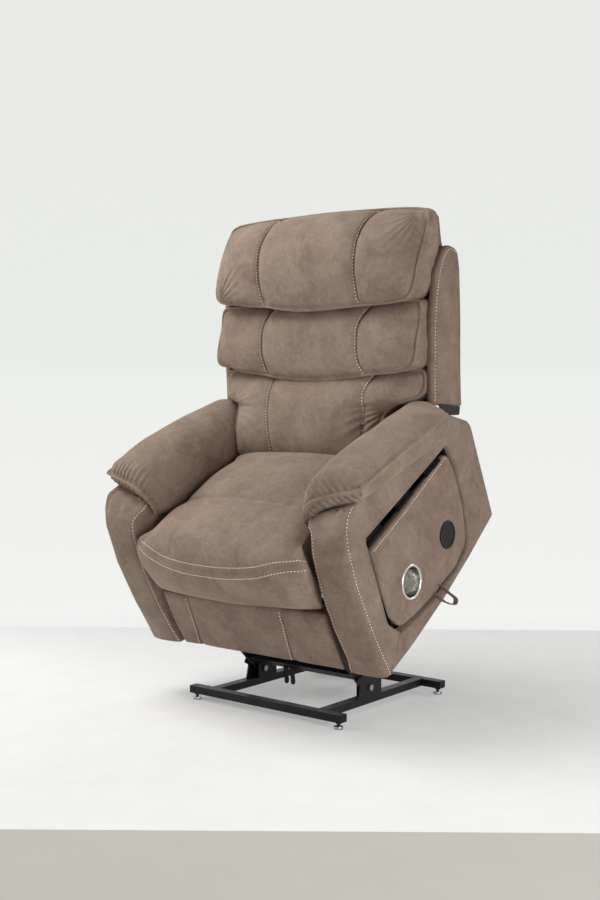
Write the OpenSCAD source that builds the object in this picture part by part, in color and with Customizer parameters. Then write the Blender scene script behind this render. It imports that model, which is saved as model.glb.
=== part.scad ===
// Power lift recliner chair, drawn in its raised position on the base frame.
// +Z is up, the sitter faces -Y and the fold-out side tray is on +X.

/* [Lift] */
// Tilt of the chair in the raised position
lift_tilt = 35.6; // [30:0.1:37]
// Height of the chair's front bottom edge above the floor when raised
raised_front_z = 168.7; // [160:0.1:190]
// Distance of that edge in front of the base frame's centre
raised_front_y = 268.2; // [262:0.1:280]
// Height of the chair's bottom edge above the floor when lowered
lowered_gap = 40; // [36:1:50]

/* [Base frame] */
// Length of the front and rear cross tubes
base_w = 558; // [530:1:562]
// Depth of the base frame over its cross tubes
base_d = 542.6; // [520:0.1:560]
// Depth of a base tube's section
tube_d = 30; // [26:0.5:34]
// Height of a base tube's section
tube_h = 22; // [20:0.5:24]
// Wall of the steel tubes
tube_wall = 2; // [1.5:0.1:2.5]
// Height of the levelling feet
foot_h = 20; // [16:0.5:22]
// Distance of the side rails' centres from the middle
rail_x = 198; // [194:1:204]
// Height of the lift arms' pivot above the floor
lift_pivot_z = 67; // [65:0.5:70]
// Distance of that pivot in front of the base frame's centre
lift_pivot_y = 36; // [30:1:42]
// Radius of the main pivot bolts
bolt_r = 6; // [5:0.25:6.5]
// Running clearance of a pin in its bore
pin_gap = 0.05; // [0.02:0.01:0.08]
// Thickness of the steel bracket plates
plate_t = 4; // [3:0.25:5]
// Thickness of a lift arm
arm_t = 8; // [6:0.5:9]

/* [Arm boxes] */
// Overall width over the two arm boxes
body_w = 877; // [870:1:890]
// Width of one arm box
box_w = 153.5; // [150:0.5:158]
// Length of the arm boxes at the floor edge
box_d = 667; // [655:1:680]
// Thickness of the padded cover on the arm boxes
cover_t = 12; // [9:0.5:14]
// Thickness of the padded front panels
front_t = 26; // [20:0.5:30]
// How far the arm pads stand proud of the arm boxes' outer sides
pad_over = 20; // [12:0.5:22]
// Height of the arm pads' crown at the front
pad_crown = 60; // [50:1:64]

/* [Seat] */
// Half width of the seat cushion between the arm pads
seat_half = 268; // [262:0.5:269]
// Half width of the seat's front, over the corners of the arm boxes
ear_half = 300; // [292:1:302]
// Height of the seat's top at its crease
seat_top = 398; // [388:1:404]
// Height of the seat cushion's underside
seat_bottom = 252; // [250:0.5:258]
// Depth of the seat from the front of the arm boxes to its rear
seat_rear = 440; // [425:1:442]

/* [Backrest] */
// Lean of the backrest from the arm boxes' upright
back_lean = 31.4; // [30:0.1:33]
// Half width of the head pillow
pillow_half = 381; // [374:1:382]
// Height of the head pillow above the wings' bottom
back_h = 574; // [550:1:580]
// Thickness of a wing
wing_t = 26; // [20:0.5:28]
// Depth of the pillows' crown at their stitched channels
channel_dip = 14; // [8:0.5:18]

/* [Side tray] */
// Thickness of the tray panel
tray_t = 22; // [18:0.5:26]
// Set-back of the tray's face from the arm box's side
tray_inset = 5; // [3:0.5:7]
// Clear gap round the tray
tray_gap = 4; // [3:0.5:6]
// Radius of the cup holder's rim
cup_rim_r = 48.9; // [44:0.1:50]
// Depth of the cup holder
cup_depth = 62; // [50:1:66]
// Wall of the cup holder
cup_wall = 1.2; // [1:0.1:2]
// Radius of the charging disc
disc_r = 39.9; // [34:0.1:42]
// Width of the pull loop's webbing
loop_w = 18; // [14:0.5:22]

/* [Footrest] */
// Half width of the footrest panel
footrest_half = 280; // [268:1:281]
// Thickness of the footrest's pad
footrest_pad_t = 26; // [20:0.5:27]
// Thickness of the footrest's board
footrest_board_t = 12; // [10:0.5:12]

/* [Handset] */
// Width of the handset
handset_w = 48; // [42:1:56]
// Thickness of the handset
handset_t = 13; // [11:0.5:13.5]
// Radius of a handset button
button_r = 7; // [5:0.5:8]

/* [Hidden] */
$fn = 48;

steel_black = "#1b1b1d";
steel_bright = "#b9bcc0";
suede = "#85766a";
suede_dark = "#75675c";
ply = "#b08d5e";
plastic_black = "#232325";

// The base frame's centre lies behind the origin, so that the whole chair is centred on it.
base_y = 121;
chair_y = base_y - raised_front_y;
chair_z = raised_front_z;
half_w = body_w / 2;
inner_x = half_w - box_w;

// ---- helpers -------------------------------------------------------------

function unit(v) = v / norm(v);

// The arc that rounds corner b between its neighbours a and c.
function corner_arc(a, b, c, r, n) =
  let (
    u = unit(a - b),
    v = unit(c - b),
    half = acos(u * v) / 2,
    centre = b + unit(u + v) * r / sin(half),
    start = b + u * r / tan(half),
    stop = b + v * r / tan(half),
    a0 = atan2(start.y - centre.y, start.x - centre.x),
    a1 = atan2(stop.y - centre.y, stop.x - centre.x),
    turn = (a1 - a0 + 540) % 360 - 180
  )
  [for (i = [0:n]) centre + r * [cos(a0 + turn * i / n), sin(a0 + turn * i / n)]];

// A polygon from corners [x, y, radius].
function round_poly(corners, n = 6) =
  let (m = len(corners), p = [for (c = corners) [c.x, c.y]])
  [for (i = [0:m - 1])
    each corners[i].z == 0 ? [p[i]]
    : corner_arc(p[(i + m - 1) % m], p[i], p[(i + 1) % m], corners[i].z, n)];

// Straight-line reading of a list of [key, value] pairs at key t.
function along(t, rows, i = 0) =
  t <= rows[0][0] ? rows[0][1]
  : i + 1 >= len(rows) ? rows[len(rows) - 1][1]
  : t <= rows[i + 1][0]
    ? rows[i][1] + (rows[i + 1][1] - rows[i][1]) * (t - rows[i][0]) / (rows[i + 1][0] - rows[i][0])
    : along(t, rows, i + 1);

// A closed skin over rings of equal length; each end is closed to a centre point.
module loft(rings, start, stop) {
  m = len(rings);
  n = len(rings[0]);
  points = [for (r = rings) each r, start, stop];
  sides = [for (j = [0:m - 2], i = [0:n - 1])
    let (a = j * n + i, b = j * n + (i + 1) % n)
    each [[a, b, a + n], [b, b + n, a + n]]];
  ends = [for (i = [0:n - 1])
    let (k = (i + 1) % n)
    each [[k, i, m * n], [(m - 1) * n + i, (m - 1) * n + k, m * n + 1]]];
  polyhedron(points = points, faces = [for (f = concat(sides, ends)) [f[2], f[1], f[0]]]);
}

// A plate standing in the YZ plane, from x on, t thick.
module plate(points, x, t) {
  translate([x, 0, 0])
    rotate([90, 0, 90])
      linear_extrude(t)
        polygon(points);
}

module x_rod(y, z, r, x0, x1) {
  translate([x0, y, z])
    rotate([0, 90, 0])
      cylinder(r = r, h = x1 - x0);
}

module both_sides() {
  children();
  mirror([1, 0, 0])
    children();
}

module on_floor() {
  translate([0, base_y, 0])
    children();
}

module in_chair() {
  translate([0, chair_y, chair_z])
    rotate([lift_tilt, 0, 0])
      children();
}

// The backrest's frame: z runs up its rear face, -y points out of its front.
back_origin = [761, 332];
module in_back() {
  in_chair()
    translate([0, back_origin.x, back_origin.y])
      rotate([-back_lean, 0, 0])
        children();
}

// ---- base frame ----------------------------------------------------------

tube_z = foot_h;
tube_top = tube_z + tube_h;
cap_t = 3;
cross_y = base_d / 2 - tube_d;

module rect_tube(length) {
  difference() {
    cube([length, tube_d, tube_h]);
    translate([-1, tube_wall, tube_wall])
      cube([length + 2, tube_d - 2 * tube_wall, tube_h - 2 * tube_wall]);
  }
}

foot_x = base_w / 2 - 17;
foot_r = 13;
stem_r = 4;

module foot_holes() {
  for (x = [-foot_x, foot_x])
    translate([x, tube_d / 2, -1])
      cylinder(r = stem_r + pin_gap, h = tube_wall + 2);
}

module cross_tube() {
  length = base_w - 2 * cap_t;
  translate([-length / 2, 0, tube_z])
    rect_tube(length);
}

module front_cross_tube() {
  color(steel_black)
    on_floor()
      translate([0, -base_d / 2, 0])
        difference() {
          cross_tube();
          translate([0, 0, tube_z])
            foot_holes();
        }
}

module rear_cross_tube() {
  color(steel_black)
    on_floor()
      translate([0, cross_y, 0])
        difference() {
          cross_tube();
          translate([0, 0, tube_z])
            foot_holes();
        }
}

module side_rails() {
  color(steel_black)
    on_floor()
      both_sides()
        translate([rail_x + tube_d / 2, -cross_y, tube_z])
          rotate([0, 0, 90])
            rect_tube(2 * cross_y);
}

module tube_end_caps() {
  plug = 8;
  gap = 0.1;
  color(plastic_black)
    on_floor()
      for (y = [-base_d / 2, cross_y])
        translate([0, y, tube_z])
          both_sides() {
            translate([base_w / 2 - cap_t, 0, 0])
              cube([cap_t, tube_d, tube_h]);
            translate([base_w / 2 - cap_t - plug, tube_wall + gap, tube_wall + gap])
              cube([plug + 1, tube_d - 2 * (tube_wall + gap), tube_h - 2 * (tube_wall + gap)]);
          }
}

foot_pad_h = 8;

module at_feet() {
  on_floor()
    for (y = [-base_d / 2 + tube_d / 2, cross_y + tube_d / 2], x = [-foot_x, foot_x])
      translate([x, y, 0])
        children();
}

module levelling_feet() {
  color(plastic_black)
    at_feet()
      cylinder(r = foot_r, h = foot_pad_h);
}

// Threaded stems with a lock nut under the tube.
module foot_screws() {
  nut_h = 5;
  color(steel_bright)
    at_feet() {
      translate([0, 0, foot_pad_h])
        cylinder(r = stem_r, h = tube_z + tube_wall + 2 - foot_pad_h);
      translate([0, 0, tube_z - nut_h])
        cylinder(r = foot_r - 4, h = nut_h, $fn = 6);
    }
}

// Bracket plates on both sides of each side rail, with the lift arm between them.
bracket_out = rail_x + tube_d / 2 - plate_t;
bracket_in = rail_x - tube_d / 2;
pivot_y = -lift_pivot_y;

module pivot_brackets() {
  reach = 58;
  outer = round_poly([
    [pivot_y + reach, tube_top, 0], [pivot_y + reach, 104, 6], [pivot_y - 56, 104, 6],
    [pivot_y - 64, 91, 4], [pivot_y - 45, 81, 0], [pivot_y - 54, tube_top, 0]]);
  inner = round_poly([
    [pivot_y + reach, tube_top, 0], [pivot_y + reach, 90, 8], [pivot_y - 26, 90, 8],
    [pivot_y - 26, tube_top, 0]]);
  color(steel_black)
    on_floor()
      both_sides()
        difference() {
          union() {
            plate(outer, bracket_out, plate_t);
            plate(inner, bracket_in, plate_t);
          }
          x_rod(pivot_y, lift_pivot_z, bolt_r + pin_gap, bracket_in - 1, bracket_out + plate_t + 1);
        }
}

module hex_bolt(y, z, x0, x1) {
  head = 6;
  x_rod(y, z, bolt_r, x0 - 1, x1 + 1);
  for (x = [x0 - head, x1])
    translate([x, y, z])
      rotate([0, 90, 0])
        cylinder(r = bolt_r * 1.65, h = head, $fn = 6);
}

module lift_pivot_bolts() {
  reach = motor_eye_t / 2 + clevis_gap + plate_t;
  color(steel_bright)
    on_floor() {
      both_sides()
        hex_bolt(pivot_y, lift_pivot_z, bracket_in, bracket_out + plate_t);
      x_rod(motor_foot.x, motor_foot.y, motor_pin_r, motor_x - reach - 4, motor_x + reach + 4);
    }
}

// The lift motor swings on a clevis behind the rear cross tube's inner face.
motor_x = 10;
motor_foot = [base_d / 2 - tube_d - 31, 50];
motor_pin_r = 6;
motor_eye_t = 14;
clevis_gap = 0.5;

module motor_clevis() {
  ear = round_poly([
    [cross_y, tube_top - 2, 0], [cross_y, tube_top + 22, 4],
    [motor_foot.x - 12, tube_top + 22, 9], [motor_foot.x - 12, motor_foot.y - 14, 9]]);
  color(steel_black)
    on_floor()
      difference() {
        union() {
          for (x = [motor_x - motor_eye_t / 2 - clevis_gap - plate_t, motor_x + motor_eye_t / 2 + clevis_gap])
            plate(ear, x, plate_t);
          translate([motor_x - 30, cross_y, tube_top])
            cube([60, tube_d, plate_t]);
          translate([motor_x - 30, cross_y - plate_t, tube_top - 4])
            cube([60, plate_t, 26]);
        }
        x_rod(motor_foot.x, motor_foot.y, motor_pin_r + pin_gap, motor_x - 40, motor_x + 40);
      }
}

// ---- lift arms -----------------------------------------------------------

// The lift arms' far pivot, in the chair's own frame.
chair_pivot = [80, 22];

function chair_to_base(p) = [
  -raised_front_y + p.x * cos(lift_tilt) - p.y * sin(lift_tilt),
  chair_z + p.x * sin(lift_tilt) + p.y * cos(lift_tilt)];

lift_from = [pivot_y, lift_pivot_z];
lift_to = chair_to_base(chair_pivot);
lift_len = norm(lift_to - lift_from);
lift_dir = atan2(lift_to.y - lift_from.y, lift_to.x - lift_from.x);
arm_root_r = 19;
arm_tip_r = 14;
boss_gap = 0.3;
arm_x = rail_x - arm_t / 2;
torque_at = 66;
torque_size = 25;

module in_lift_arm() {
  on_floor()
    translate([0, lift_from.x, lift_from.y])
      rotate([lift_dir, 0, 0])
        children();
}

module lift_arm() {
  boss_in = bracket_in + plate_t + boss_gap;
  boss_out = bracket_out - boss_gap;
  taper = asin((arm_root_r - arm_tip_r) / lift_len);
  edge = [sin(taper), cos(taper)] * 0.995;
  bar = [
    edge * arm_root_r, [lift_len, 0] + edge * arm_tip_r,
    [lift_len, 0] + [edge.x, -edge.y] * arm_tip_r, [edge.x, -edge.y] * arm_root_r];
  difference() {
    union() {
      plate(bar, arm_x, arm_t);
      x_rod(0, 0, arm_root_r, arm_x, arm_x + arm_t);
      x_rod(lift_len, 0, arm_tip_r, arm_x, arm_x + arm_t);
      x_rod(0, 0, bolt_r + 5, boss_in, boss_out);
    }
    x_rod(0, 0, bolt_r + pin_gap, boss_in - 1, boss_out + 1);
    x_rod(lift_len, 0, bolt_r + pin_gap, arm_x - 1, arm_x + arm_t + 1);
  }
}

module left_lift_arm() {
  color(steel_black)
    in_lift_arm()
      lift_arm();
}

module right_lift_arm() {
  color(steel_black)
    in_lift_arm()
      mirror([1, 0, 0])
        lift_arm();
}

// A square tube that ties the two lift arms together, with two welded tabs under it.
module torque_tube() {
  tab_x = -50;
  tab_gap = 24;
  tab = round_poly([[-9, 6, 0], [9, 6, 0], [16, -46, 7], [0, -50, 7]]);
  color(steel_black)
    in_lift_arm() {
      translate([-arm_x, torque_at - torque_size / 2, -torque_size / 2])
        difference() {
          cube([2 * arm_x, torque_size, torque_size]);
          translate([-1, tube_wall, tube_wall])
            cube([2 * arm_x + 2, torque_size - 2 * tube_wall, torque_size - 2 * tube_wall]);
        }
      translate([0, torque_at, 0])
        rotate([-lift_dir, 0, 0])
          for (x = [tab_x - tab_gap / 2, tab_x + tab_gap / 2])
            translate([0, 0, -torque_size / 2 - 6])
              plate(tab, x - plate_t / 2, plate_t);
    }
}

// ---- lift actuator -------------------------------------------------------

// The rod's eye sits round a pin on the chassis, in the chair's own frame.
rod_eye = [180, 66];
rod_to = chair_to_base(rod_eye);
rod_len = norm(rod_to - motor_foot);
rod_dir = atan2(rod_to.y - motor_foot.y, rod_to.x - motor_foot.x);
housing_len = 285;
housing_r = 18;
rod_r = 9;

module in_lift_motor() {
  on_floor()
    translate([motor_x, motor_foot.x, motor_foot.y])
      rotate([rod_dir, 0, 0])
        children();
}

module y_tube(y0, y1, r) {
  translate([0, y0, 0])
    rotate([-90, 0, 0])
      cylinder(r = r, h = y1 - y0);
}

module lift_motor() {
  motor_r = 27;
  motor_off = 50;
  color(plastic_black)
    in_lift_motor()
      difference() {
        union() {
          y_tube(16, housing_len, housing_r);
          x_rod(0, 0, 11, -motor_eye_t / 2, motor_eye_t / 2);
          translate([-motor_eye_t / 2, 0, -11])
            cube([motor_eye_t, 30, 22]);
          translate([-20, 24, -20])
            cube([motor_off + 20, 46, 40]);
          translate([motor_off, 0, 0])
            y_tube(24, 150, motor_r);
        }
        x_rod(0, 0, motor_pin_r + pin_gap, -20, 20);
        y_tube(30 + 20, housing_len + 1, rod_r + pin_gap);
      }
}

// The lift rod's eye is wide enough for the pin to wander as the chair comes down.
eye_slack = 10;
eye_r = motor_pin_r + eye_slack + 4.5;
hanger_gap = 10;

module lift_rod() {
  color(steel_bright)
    in_lift_motor()
      difference() {
        union() {
          y_tube(120, rod_len - eye_r + 3, rod_r);
          x_rod(rod_len, 0, eye_r, -5, 5);
        }
        x_rod(rod_len, 0, motor_pin_r + eye_slack, -6, 6);
      }
}

// ---- chassis under the seat ----------------------------------------------

side_plate_t = 5;
side_plate_x = inner_x - side_plate_t - 0.5;
cross_z = 100;
cross_size = 22;
front_cross_y = 84;
mid_cross_y = 169;
rear_cross_y = 520;
back_hinge = [585, 235];
rail_hinge = [190, 150];
plate_front = 80;
mech_bottom = 90;

module mechanism_plates() {
  outline = round_poly([
    [plate_front, mech_bottom, 10], [rear_cross_y + 60, mech_bottom, 20],
    [back_hinge.x + 22, back_hinge.y - 20, 16], [back_hinge.x + 18, back_hinge.y + 18, 14],
    [back_hinge.x - 30, back_hinge.y + 18, 10], [back_hinge.x - 60, deck_z, 0], [plate_front, deck_z, 10]]);
  color(steel_black)
    in_chair()
      both_sides()
        difference() {
          plate(outline, side_plate_x, side_plate_t);
          x_rod(back_hinge.x, back_hinge.y, bolt_r + pin_gap, side_plate_x - 1, inner_x);
          x_rod(rail_hinge.x, rail_hinge.y, bolt_r + pin_gap, side_plate_x - 1, inner_x);
          for (y = [280, 365, 450])
            x_rod(y, 152, 16, side_plate_x - 1, inner_x);
        }
}

module square_cross(y) {
  translate([-side_plate_x, y, cross_z])
    difference() {
      cube([2 * side_plate_x, cross_size, cross_size]);
      translate([-1, tube_wall, tube_wall])
        cube([2 * side_plate_x + 2, cross_size - 2 * tube_wall, cross_size - 2 * tube_wall]);
    }
}

module chassis_cross_tubes() {
  color(steel_black)
    in_chair()
      for (y = [front_cross_y, mid_cross_y, rear_cross_y])
        square_cross(y);
}

// Clevises for the lift arms under the front cross tube, and the lift rod's pin brackets.
module chair_pivot_brackets() {
  side_gap = 1;
  hanger = round_poly([
    [front_cross_y, cross_z, 0], [chair_pivot.x - arm_tip_r, chair_pivot.y - arm_tip_r, 12],
    [chair_pivot.x + arm_tip_r, chair_pivot.y - arm_tip_r, 12], [front_cross_y + cross_size, cross_z, 0]]);
  rod_hanger = round_poly([
    [mid_cross_y, cross_z, 0], [rod_eye.x - 11, rod_eye.y - 11, 9],
    [rod_eye.x + 11, rod_eye.y - 11, 9], [mid_cross_y + cross_size, cross_z, 0]]);
  color(steel_black)
    in_chair() {
      both_sides()
        difference() {
          for (x = [arm_x - side_gap - plate_t, arm_x + arm_t + side_gap])
            plate(hanger, x, plate_t);
          x_rod(chair_pivot.x, chair_pivot.y, bolt_r + pin_gap, arm_x - 20, arm_x + 30);
        }
      difference() {
        for (x = [motor_x - hanger_gap - plate_t, motor_x + hanger_gap])
          plate(rod_hanger, x, plate_t);
        x_rod(rod_eye.x, rod_eye.y, motor_pin_r + pin_gap, motor_x - 20, motor_x + 20);
      }
    }
}

module hinge_bolts() {
  color(steel_bright)
    in_chair() {
      both_sides() {
        hex_bolt(chair_pivot.x, chair_pivot.y, arm_x - 1 - plate_t, arm_x + arm_t + 1 + plate_t);
        x_rod(back_hinge.x, back_hinge.y, bolt_r, back_plate_x - 6, inner_x - 0.5);
      }
      x_rod(rod_eye.x, rod_eye.y, motor_pin_r,
        motor_x - hanger_gap - plate_t - 3, motor_x + hanger_gap + plate_t + 3);
    }
}

// ---- seat ----------------------------------------------------------------

deck_t = 22;
deck_z = seat_bottom - deck_t - 4;
deck_front = 60;
deck_rear = seat_rear + 20;
deck_rail = 34;

// Four rails butted together.
module seat_deck() {
  deck_half = side_plate_x + side_plate_t;
  length = deck_rear - deck_front;
  color(ply)
    in_chair() {
      both_sides()
        translate([deck_half - deck_rail, deck_front, deck_z])
          cube([deck_rail, length, deck_t]);
      for (y = [deck_front, deck_rear - deck_rail])
        translate([-deck_half + deck_rail + board_gap, y, deck_z])
          cube([2 * (deck_half - deck_rail - board_gap), deck_rail, deck_t]);
    }
}

// Zigzag seat springs: half rings joined by straight runs, front rail to rear rail.
spring_wire = 1.8;
spring_pitch = 27.8;
spring_runs = 14;

module zigzag() {
  half = 22;
  for (i = [0:spring_runs - 1])
    translate([0, i * spring_pitch, 0]) {
      rotate([0, 90, 0])
        translate([0, 0, -half])
          cylinder(r = spring_wire, h = 2 * half, $fn = 16);
      if (i < spring_runs - 1)
        translate([i % 2 == 0 ? half : -half, spring_pitch / 2, 0])
          rotate([0, 0, i % 2 == 0 ? -90 : 90])
            rotate_extrude(angle = 180)
              translate([spring_pitch / 2, 0])
                circle(r = spring_wire, $fn = 16);
    }
}

module seat_springs() {
  start = (deck_front + deck_rear) / 2 - (spring_runs - 1) * spring_pitch / 2;
  color(steel_bright)
    in_chair()
      for (x = [-180, -60, 60, 180])
        translate([x, start, deck_z + deck_t + spring_wire])
          zigzag();
}

// Side outline of the seat cushion at half width x, clockwise from its rear top.
function seat_outline(x) =
  let (
    u = min(abs(x) / seat_half, 1),
    v = abs(x) / ear_half,
    crown = 18 * (1 - u * u),
    sweep = 40 * v * v,
    low = 26 * v * v
  )
  [
    [seat_rear, seat_top - 44 + crown], [seat_rear - 60, seat_top - 22 + crown],
    [330, seat_top - 8 + crown], [260, seat_top + crown], [215, seat_top - 2 + crown],
    [202, seat_top - 12 + crown / 2], [190, seat_top - 2 + crown], [140, seat_top + 8 + crown],
    [80, seat_top + 12 + crown], [20 + sweep * 0.2, seat_top + 6 + crown],
    [-18 + sweep * 0.9, seat_top - 8 + crown / 2], [-36 + sweep, seat_top - 24], [-34 + sweep, seat_top - 38],
    [-46 + sweep, seat_top - 60], [-50 + sweep, seat_top - 90], [-46 + sweep, seat_top - 124],
    [-36 + sweep, 242 - low], [-18 + sweep * 0.8, 236 - low], [10 + sweep * 0.3, 234 - low / 2], [40, 238], [46, seat_bottom],
    [140, seat_bottom], [240, seat_bottom], [seat_rear - 60, seat_bottom], [seat_rear, seat_bottom]
  ];

// Rings beyond the seat's own half width end at the plane y = back.
function seat_ring(x, inset, back) =
  let (
    raw = seat_outline(x),
    pts = [for (p = raw)
      let (away = p - [p.x > 60 ? p.x : 0, p.x > 60 ? 325 : 320])
      p - (norm(away) > 1 ? unit(away) * inset : [0, 0])],
    cut = len([for (i = [0:10]) if (pts[i].x > back) i]),
    top = pts[cut].y - 3
  )
  [for (i = [0:len(pts) - 1])
    pts[i].x <= back ? [x, pts[i].x, pts[i].y]
    : i < cut ? [x, back, 280 + (top - 280) * (i + 1) / (cut + 1)]
    : [x, back, 238 + (i - 18) * 6]];

corner_reach = 100;
ear_reach = 33;

module seat_cushion() {
  far = seat_rear + 1;
  stations = [
    [0, 0, far], [48, 0, far], [96, 0, far], [144, 0, far], [188, 0, far], [225, 0, far],
    [251, 2, far], [seat_half - 4, 5, far], [seat_half, 12, far], [seat_half + 0.6, 3, corner_reach],
    [inner_x - 3.5, 4, corner_reach], [inner_x - 3, 4, ear_reach], [ear_half - 5, 5, ear_reach],
    [ear_half - 1, 9, ear_reach - 1], [ear_half, 16, ear_reach - 6]];
  k = len(stations);
  rings = concat(
    [for (i = [k - 1:-1:1]) seat_ring(-stations[i][0], stations[i][1], stations[i][2])],
    [for (i = [0:k - 1]) seat_ring(stations[i][0], stations[i][1], stations[i][2])]);
  color(suede)
    in_chair()
      loft(rings, [-ear_half, 12, 320], [ear_half, 12, 320]);
}

// ---- arm boxes -----------------------------------------------------------

// Height of the arm box's top along its outer edge.
pad_line = 480;
pad_fall = 0.133;
function box_top(y) = pad_line - pad_fall * (y - 120);

front_low = [[0, 0], [4, 148], [18, 295], [45, 408], [62, 444]];

side_outline = round_poly([
  [0, 0, 0], [4, 148, 0], [18, 295, 0], [45, 408, 0], [66, 448, 0], [100, box_top(100), 20],
  [618, box_top(618), 60], [709, 322, 28], [716, 300, 0], [715, 282, 0], [box_d + 6, 11, 0], [box_d, 0, 0]]);

// The box's top falls towards the seat, from the outer edge to the inner one.
top_drop = 44;

module box_solid(x0, x1, grow) {
  intersection() {
    plate([for (p = side_outline) [
      p.x + (p.x < 340 ? -grow : grow),
      p.y + (p.y < 200 ? -grow : grow)]], x0, x1 - x0);
    translate([0, 800, 0])
      rotate([90 - atan(pad_fall), 0, 0])
        linear_extrude(1000)
          polygon([
            [inner_x - 5, -400], [inner_x - 5, top_edge_z - top_drop - 1.4 + grow],
            [inner_x, top_edge_z - top_drop + grow], [half_w - 30, top_edge_z - 4 + grow],
            [half_w + 5, top_edge_z + grow], [half_w + 5, -400]]);
  }
}

// Height of the top plane's profile where it is extruded from.
top_edge_z = box_top(800) * cos(atan(pad_fall));

tray_outline = round_poly([
  [132, 331, 12], [557, 299, 24], [553, 150, 60], [500, 34, 70], [394, 20, 60],
  [250, 26, 60], [150, 50, 50], [112, 100, 12]]);
recess_outline = round_poly([
  [132 - tray_gap, 371, 10], [557 + tray_gap + 8, 338, 20], [553 + tray_gap, 150, 60],
  [500 + tray_gap, 34 - tray_gap, 70], [394, 20 - tray_gap, 60], [250, 26 - tray_gap, 60],
  [150 - tray_gap, 50 - tray_gap, 50], [112 - tray_gap, 98, 12]]);

module arm_shell() {
  difference() {
    box_solid(inner_x, half_w, 0);
    box_solid(inner_x + cover_t, half_w - cover_t, -cover_t);
    // The front panel closes the box's front.
    plate(concat(
      [for (p = front_low) [p.x + front_t, p.y]], [[101, 500], [-40, 500], [-40, 0]]),
      inner_x - 1, box_w + 2);
  }
}

module left_arm_cover() {
  color(suede)
    in_chair()
      difference() {
        arm_shell();
        plate(recess_outline, half_w - cover_t - 1, cover_t + 2);
      }
}

module right_arm_cover() {
  color(suede)
    in_chair()
      mirror([1, 0, 0])
        arm_shell();
}

// Front panel: rings from the floor edge up, bulging forward between its side seams.
front_seam = [[0, 0], [148, 4], [295, 18], [408, 45], [448, 66], [474, 92]];
inner_setback = [[0, 4], [137, 28], [261, 40], [390, 44], [448, 28], [474, 6]];

function front_ring(z) =
  let (
    y = along(z, front_seam),
    back = front_back(z),
    set = along(z, inner_setback)
  )
  [
    [half_w, back, z], [half_w, y + 5, z], [half_w - 5, y, z], [half_w - 35, y - 5, z],
    [half_w - 75, y - 4 + set * 0.1, z], [half_w - 110, y + set * 0.3, z],
    [inner_x + 16, min(back - 4, y + set * 0.62), z], [inner_x + 4, min(back - 2, y + set * 0.85), z],
    [inner_x, min(back - 1, y + set), z], [inner_x, back, z], [half_w - 75, back, z]
  ];

function front_top(z, x) = min(z, box_top(92) - 1 - (half_w - x) / box_w * top_drop);
function front_back(z) = along(z, [for (p = front_low) [p.y, p.x + front_t]]) - 0.2;

module arm_front() {
  levels = [0, 40, 90, 148, 200, 250, 295, 340, 375, 408, 430, 448, 464];
  rings = [for (z = levels) [for (p = front_ring(z))
    let (top = front_top(z, p.x))
    [p.x, min(p.y, front_back(top)), top]]];
  low = front_ring(0);
  loft(rings, [half_w - box_w / 2, front_t / 2 + 8, 0], [half_w - box_w / 2, 86, front_top(464, half_w - box_w / 2)]);
}

module left_arm_front() {
  color(suede_dark)
    in_chair()
      arm_front();
}

module right_arm_front() {
  color(suede_dark)
    in_chair()
      mirror([1, 0, 0])
        arm_front();
}

// Arm pad: a thick roll that lies on the box, hangs over its outer edge and falls to the seat.
pad_front = 112;
pad_slant = 42;
pad_rear = 640;
pad_lift = 0.4;

function pad_section(s) =
  let (
    crown = along(s, [[0, 0.62], [0.04, 0.84], [0.1, 0.95], [0.25, 1], [0.62, 0.64], [0.94, 0.3], [1, 0.16]]) * pad_crown,
    band = along(s, [[0, 0.5], [0.06, 0.66], [0.5, 0.6], [1, 0.3]]) * pad_crown,
    lip = along(s, [[0, -58], [0.5, -60], [0.9, -54], [1, -46]])
  )
  [
    [half_w + 4, pad_lift], [half_w + pad_over, 4], [half_w + pad_over, band], [half_w - 2, crown - 3],
    [half_w - 32, crown + 2], [half_w - 70, crown - 2], [half_w - 104, crown - 16],
    [inner_x + 22, crown - 42], [inner_x, min(crown - 66, 0)], [inner_x - 12, lip / 2 - 12], [inner_x - 15, lip],
    [inner_x - 8, lip - 6], [inner_x - 0.8, lip], [inner_x - 0.8, -top_drop + pad_lift], [inner_x + 30, -top_drop + 9.8 + pad_lift],
    [half_w - 30, -4 + pad_lift]
  ];

module arm_pad() {
  steps = [0, 0.015, 0.04, 0.08, 0.14, 0.22, 0.32, 0.44, 0.56, 0.68, 0.8, 0.9, 0.96, 1];
  rings = [for (s = steps) [for (p = pad_section(s))
    let (
      front = pad_front + pad_slant * (p.x - inner_x) / box_w,
      y = front + s * (pad_rear - front),
      z = box_top(y) + p.y
    )
    [p.x, y, z]]];
  loft(rings,
    [half_w - 70, pad_front + pad_slant * 0.55, box_top(pad_front) + 10],
    [half_w - 70, pad_rear, box_top(pad_rear) + 4]);
}

module left_arm_pad() {
  color(suede)
    in_chair()
      arm_pad();
}

module right_arm_pad() {
  color(suede)
    in_chair()
      mirror([1, 0, 0])
        arm_pad();
}

// Plywood frames inside the arm boxes, against their inner walls.
module arm_frames() {
  board = 18;
  x = inner_x + cover_t;
  rail = 60;
  low = cover_t;
  high = 340;
  color(ply)
    in_chair()
      both_sides() {
        translate([x, 70, low])
          cube([board, rail, high - low]);
        translate([x, 590, low])
          cube([board, rail, high - low - 30]);
        translate([x, 70 + rail + board_gap, low])
          cube([board, 590 - 70 - rail - 2 * board_gap, rail]);
        translate([x, 70 + rail + board_gap, high - 30 - rail])
          cube([board, 590 - 70 - rail - 2 * board_gap, rail]);
      }
}

// Fabric panel across the rear of the chassis, between the arm boxes.
module rear_panel() {
  rear_t = 14;
  color(suede_dark)
    in_chair()
      translate([-inner_x + 0.5, box_d - 30, 12])
        cube([2 * inner_x - 1, rear_t, 128]);
}

// ---- side tray -----------------------------------------------------------

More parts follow.
